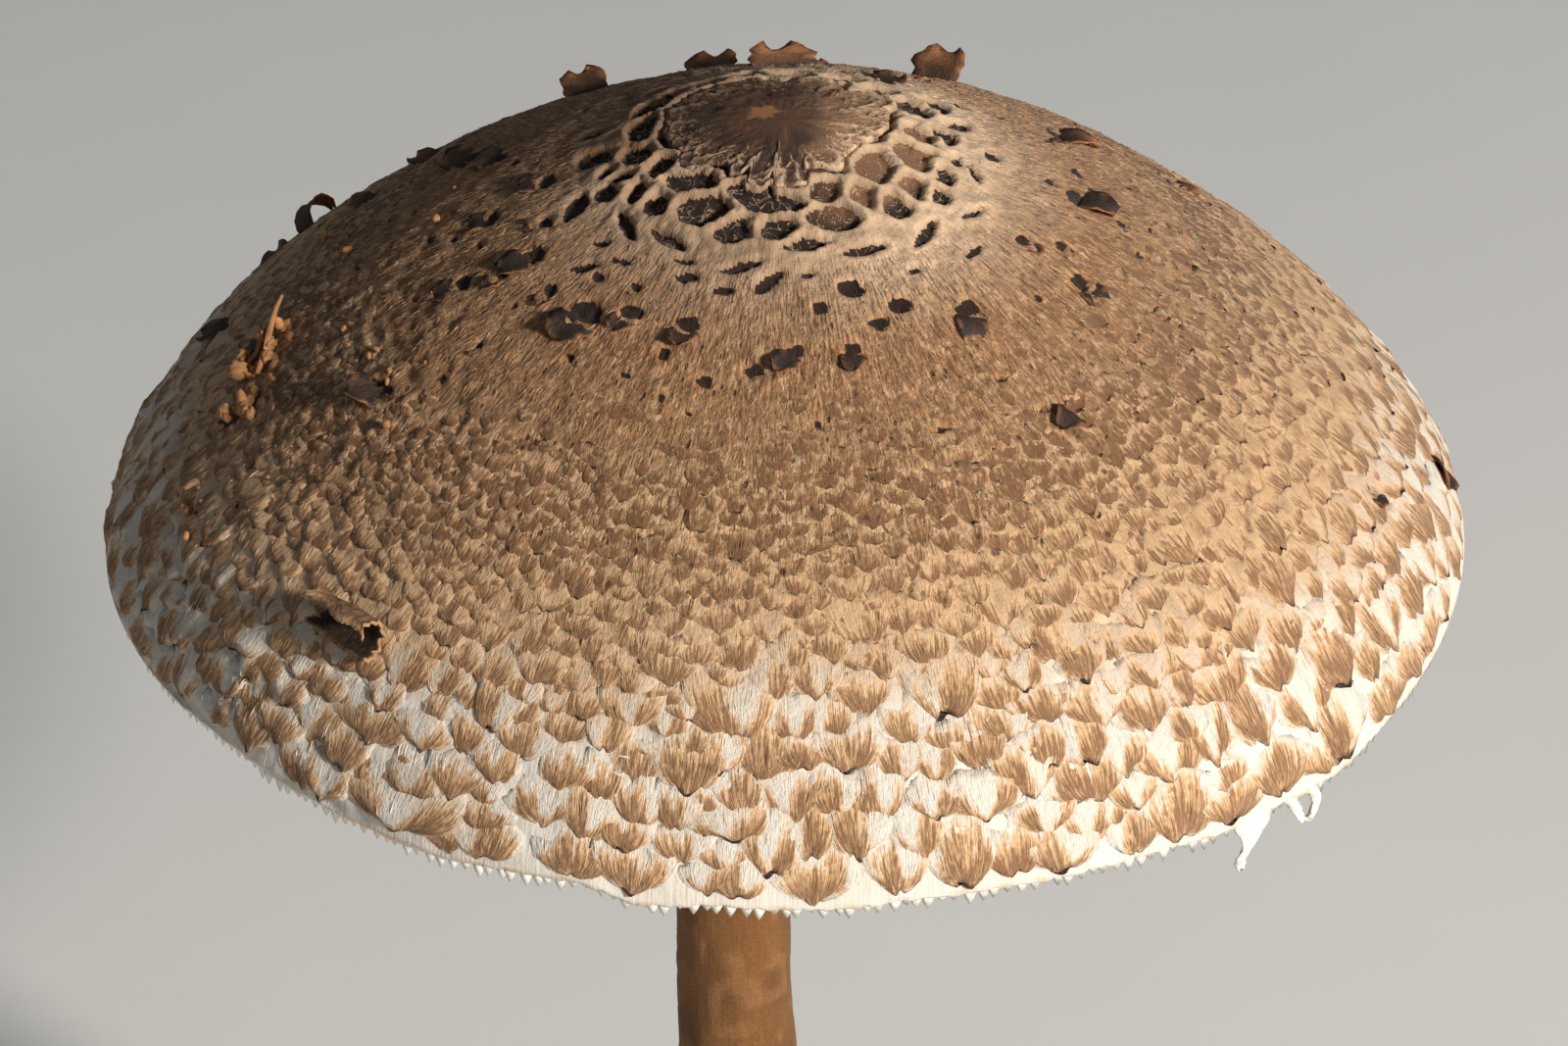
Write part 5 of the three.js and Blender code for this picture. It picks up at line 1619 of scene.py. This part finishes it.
def buildRing():
    # a sleeve with two ragged lips: one profile carried round the stem. Its corners say how far out from
    # the stem, how far up, and how loose the veil is there, which makes it more torn and droop more
    corners = np.array([
        [0.45, 0, 0], [2.0, -0.5, 0], [2.7, 4, 0.2], [6, 5.2, 0.5], [8.6, 4.2, 1], [9.0, 4.8, 1],
        [8.8, 5.6, 1], [7.2, 7.4, 0.6], [9.6, 8.6, 1], [9.9, 9.5, 1], [9.3, 10.3, 1], [6, 11.6, 0.5],
        [2.4, 13.8, 0.2], [1.5, 17, 0], [0.45, 17.2, 0],
    ])
    place = np.linspace(0, len(corners) - 1, 44)
    profile = np.stack([np.interp(place, np.arange(len(corners)), corners[:, i]) for i in range(3)], -1)
    columns = ringShape["columns"]
    angles = np.arange(columns) / columns * fullTurn
    out, a = np.meshgrid(profile[:, 0], angles, indexing="ij")
    up = profile[:, 1][:, None] + 0 * a
    loose = profile[:, 2][:, None] + 0 * a
    torn = waveRound(a, 3, 1.3) + 0.7 * ripple(up, a, 50, 48, 112) + 0.45 * ripple(up, a, 50, 110, 113)
    height = ringShape["height"] + up
    radius = stemRadius(height) + out + loose * ringShape["ragged"] * torn
    radius = radius + 0.15 * ripple(up, a, 1.0, 90, 114) * smooth(0.6, 1.6, out)
    droop = loose * 0.8 * waveRound(a, 2, 2.2)
    x = axisX + stemCentre(height) + radius * np.cos(a)
    points = np.stack([x, axisY + radius * np.sin(a), height + droop], -1)
    faces = gridFaces(len(profile), columns, loop=True)[:, ::-1]
    under = smooth(5.4, 3.6, up) * smooth(1, 5, out)
    browned = under + 0.6 * smooth(0.85, 1, loose) * smooth(-0.3, 0.9, torn)
    colour = blend(linear(232, 222, 202), linear(168, 130, 94), np.clip(browned, 0, 1))
    piece = makePiece("ring", veil, points, [faces], colour)
    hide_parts("ring")


buildRing()

# strips of the scrap: where each leaves the margin, then outward, sideways, down and width along it
scrapStrips = [
    (-2.0, [(-1.0, 0, 1.2, 6.0), (-0.3, -0.2, -0.4, 5.2), (0.2, -0.8, -1.8, 3.6), (0.5, -1.7, -3.0, 1.8),
            (0.4, -2.4, -4.3, 1.1), (0.0, -2.6, -5.4, 1.2), (0.1, -2.3, -6.0, 0.8)]),
    (3.2, [(-1.0, 0, 1.2, 2.2), (-0.2, 0.3, -0.6, 1.5), (0.1, 0.6, -2.2, 1.1), (0.3, 1.6, -3.9, 1.3),
           (0.4, 2.6, -3.7, 1.0)]),
    (6.0, [(-1.0, 0, 1.2, 2.0), (0.1, 0.8, -0.6, 1.4), (0.2, 1.0, -2.0, 1.0), (0.3, 0.3, -3.3, 1.2),
           (0.3, -0.6, -3.8, 0.9)]),
]
scrap = {"bearing": -47.0, "thickness": 0.5, "steps": 26, "across": 6}


def buildScrap():
    # each strip is a flat tube along its points, eased between them, with a torn edge
    steps, across = scrap["steps"], scrap["across"]
    points, faces, ends, count = [], [], [], 0
    draw = np.random.default_rng(121)
    for shift, places in scrapStrips:
        places = np.array(places, float)
        t = np.linspace(0, len(places) - 1, steps)
        spread = np.clip(t[:, None] + np.linspace(-0.5, 0.5, 5), 0, len(places) - 1)
        steady = np.arange(len(places))
        out, aside, down, width = (np.interp(spread, steady, values).mean(1) for values in places.T)
        angle = math.radians(scrap["bearing"]) + shift / dome["radius"]
        radial = np.array([math.cos(angle), math.sin(angle), 0])
        sideways = np.array([-math.sin(angle), math.cos(angle), 0])
        centre = radial * (dome["radius"] + out)[:, None] + sideways * aside[:, None]
        centre[:, 2] = dome["marginHeight"] + marginLift(dome["radius"], angle) + down
        torn = draw.uniform(0.75, 1.2, (steps, 2))
        u = np.linspace(-1, 1, across)
        outline = [(x, 0.5) for x in u] + [(x, -0.5) for x in u[::-1]]
        rows = []
        for x, y in outline:
            wide = x * width / 2 * np.where(x < 0, torn[:, 0], torn[:, 1])
            fold = 0.22 * np.sin(x * 4 + t * 2)
            thick = y * scrap["thickness"] * (1 - 0.6 * abs(x)) + fold
            rows.append(centre + sideways * wide[:, None] + radial * thick[:, None])
        ring = np.stack(rows, 1) + np.array([axisX, axisY, 0])
        points.append(ring.reshape(-1, 3))
        around = 2 * across
        faces.append(gridFaces(steps, around, first=count)[:, ::-1])
        ends.append(endFaces(around, (steps - 1) * around) + count)
        count += steps * around
    points = np.concatenate(points)
    colours = np.tile(linear(240, 235, 222), (len(points), 1))
    makePiece("veilScrap", veil, points, [np.concatenate(faces), np.concatenate(ends)], colours)


buildScrap()


def buildFloor():
    # a wide pale floor with a faint slow mottle
    paint = Paint("paleFloor", {"Roughness": 0.9})
    spot = paint.place()
    speck = paint.noise(spot, 0.02, 2.0, 0.5)
    paint.connect("Base Color", paint.mix(speck, (0.84, 0.83, 0.81, 1), (0.88, 0.87, 0.85, 1)))
    mesh = bpy.data.meshes.new("floor")
    side = 6.0
    corners = [(-side, -side, 0), (side, -side, 0), (side, side, 0), (-side, side, 0)]
    mesh.from_pydata(corners, [], [(0, 1, 2, 3)])
    mesh.materials.append(paint.material)
    floor = bpy.data.objects.new("floor", mesh)
    putInScene(floor)


# each light's bearing and elevation in degrees, distance and width in metres, power, and colour
lights = {
    "key": (-46.0, 25.0, 1.6, 0.28, 34.5, (1.0, 0.95, 0.88)),
    "fill": (-150.0, 50.0, 1.8, 1.4, 0.7, (0.82, 0.9, 1.0)),
}
sky = {"colour": (0.82, 0.91, 1.0, 1), "strength": 0.12}


def areaLight(name, target, bearing, elevation, distance, size, power, colour):
    # a round lamp that faces the target from that bearing and elevation
    data = bpy.data.lights.new(name, "AREA")
    data.shape, data.size, data.energy, data.color = "DISK", size, power, colour
    lamp = bpy.data.objects.new(name, data)
    b, e = math.radians(bearing), math.radians(elevation)
    way = Vector((math.cos(e) * math.cos(b), math.cos(e) * math.sin(b), math.sin(e)))
    lamp.location = target + way * distance
    lamp.rotation_euler = (-way).to_track_quat("-Z", "Y").to_euler()
    putInScene(lamp)


def buildLights():
    # a low warm key from the right, a weak cool fill from behind on the left, and a dim sky
    target = Vector((0, 0, 0.16))
    for name, values in lights.items():
        areaLight(name, target, *values)
    world = bpy.data.worlds.new("studio")
    world.use_nodes = True
    background = world.node_tree.nodes["Background"]
    background.inputs["Color"].default_value = sky["colour"]
    background.inputs["Strength"].default_value = sky["strength"]
    bpy.context.scene.world = world


view = {"elevation": 31.6, "distance": 0.9, "lens": 186.5, "aside": -0.0001, "up": -0.0004}


def buildCamera():
    # a long lens that looks down at the cap from in front
    data = bpy.data.cameras.new("camera")
    data.lens, data.sensor_width, data.clip_start = view["lens"], 36.0, 0.05
    camera = bpy.data.objects.new("camera", data)
    e = math.radians(view["elevation"])
    away = Vector((0, -math.cos(e), math.sin(e)))
    up = Vector((0, math.sin(e), math.cos(e)))
    middle = Vector((axisX * mm, axisY * mm, dome["marginHeight"] * mm))
    aim = middle + Vector((view["aside"], 0, 0)) + up * view["up"]
    camera.location = aim + away * view["distance"]
    camera.rotation_euler = (-away).to_track_quat("-Z", "Y").to_euler()
    putInScene(camera)
    bpy.context.scene.camera = camera


buildFloor()
buildLights()
buildCamera()
bpy.context.scene.view_settings.view_transform = "Standard"
print("stage, light and camera are set")
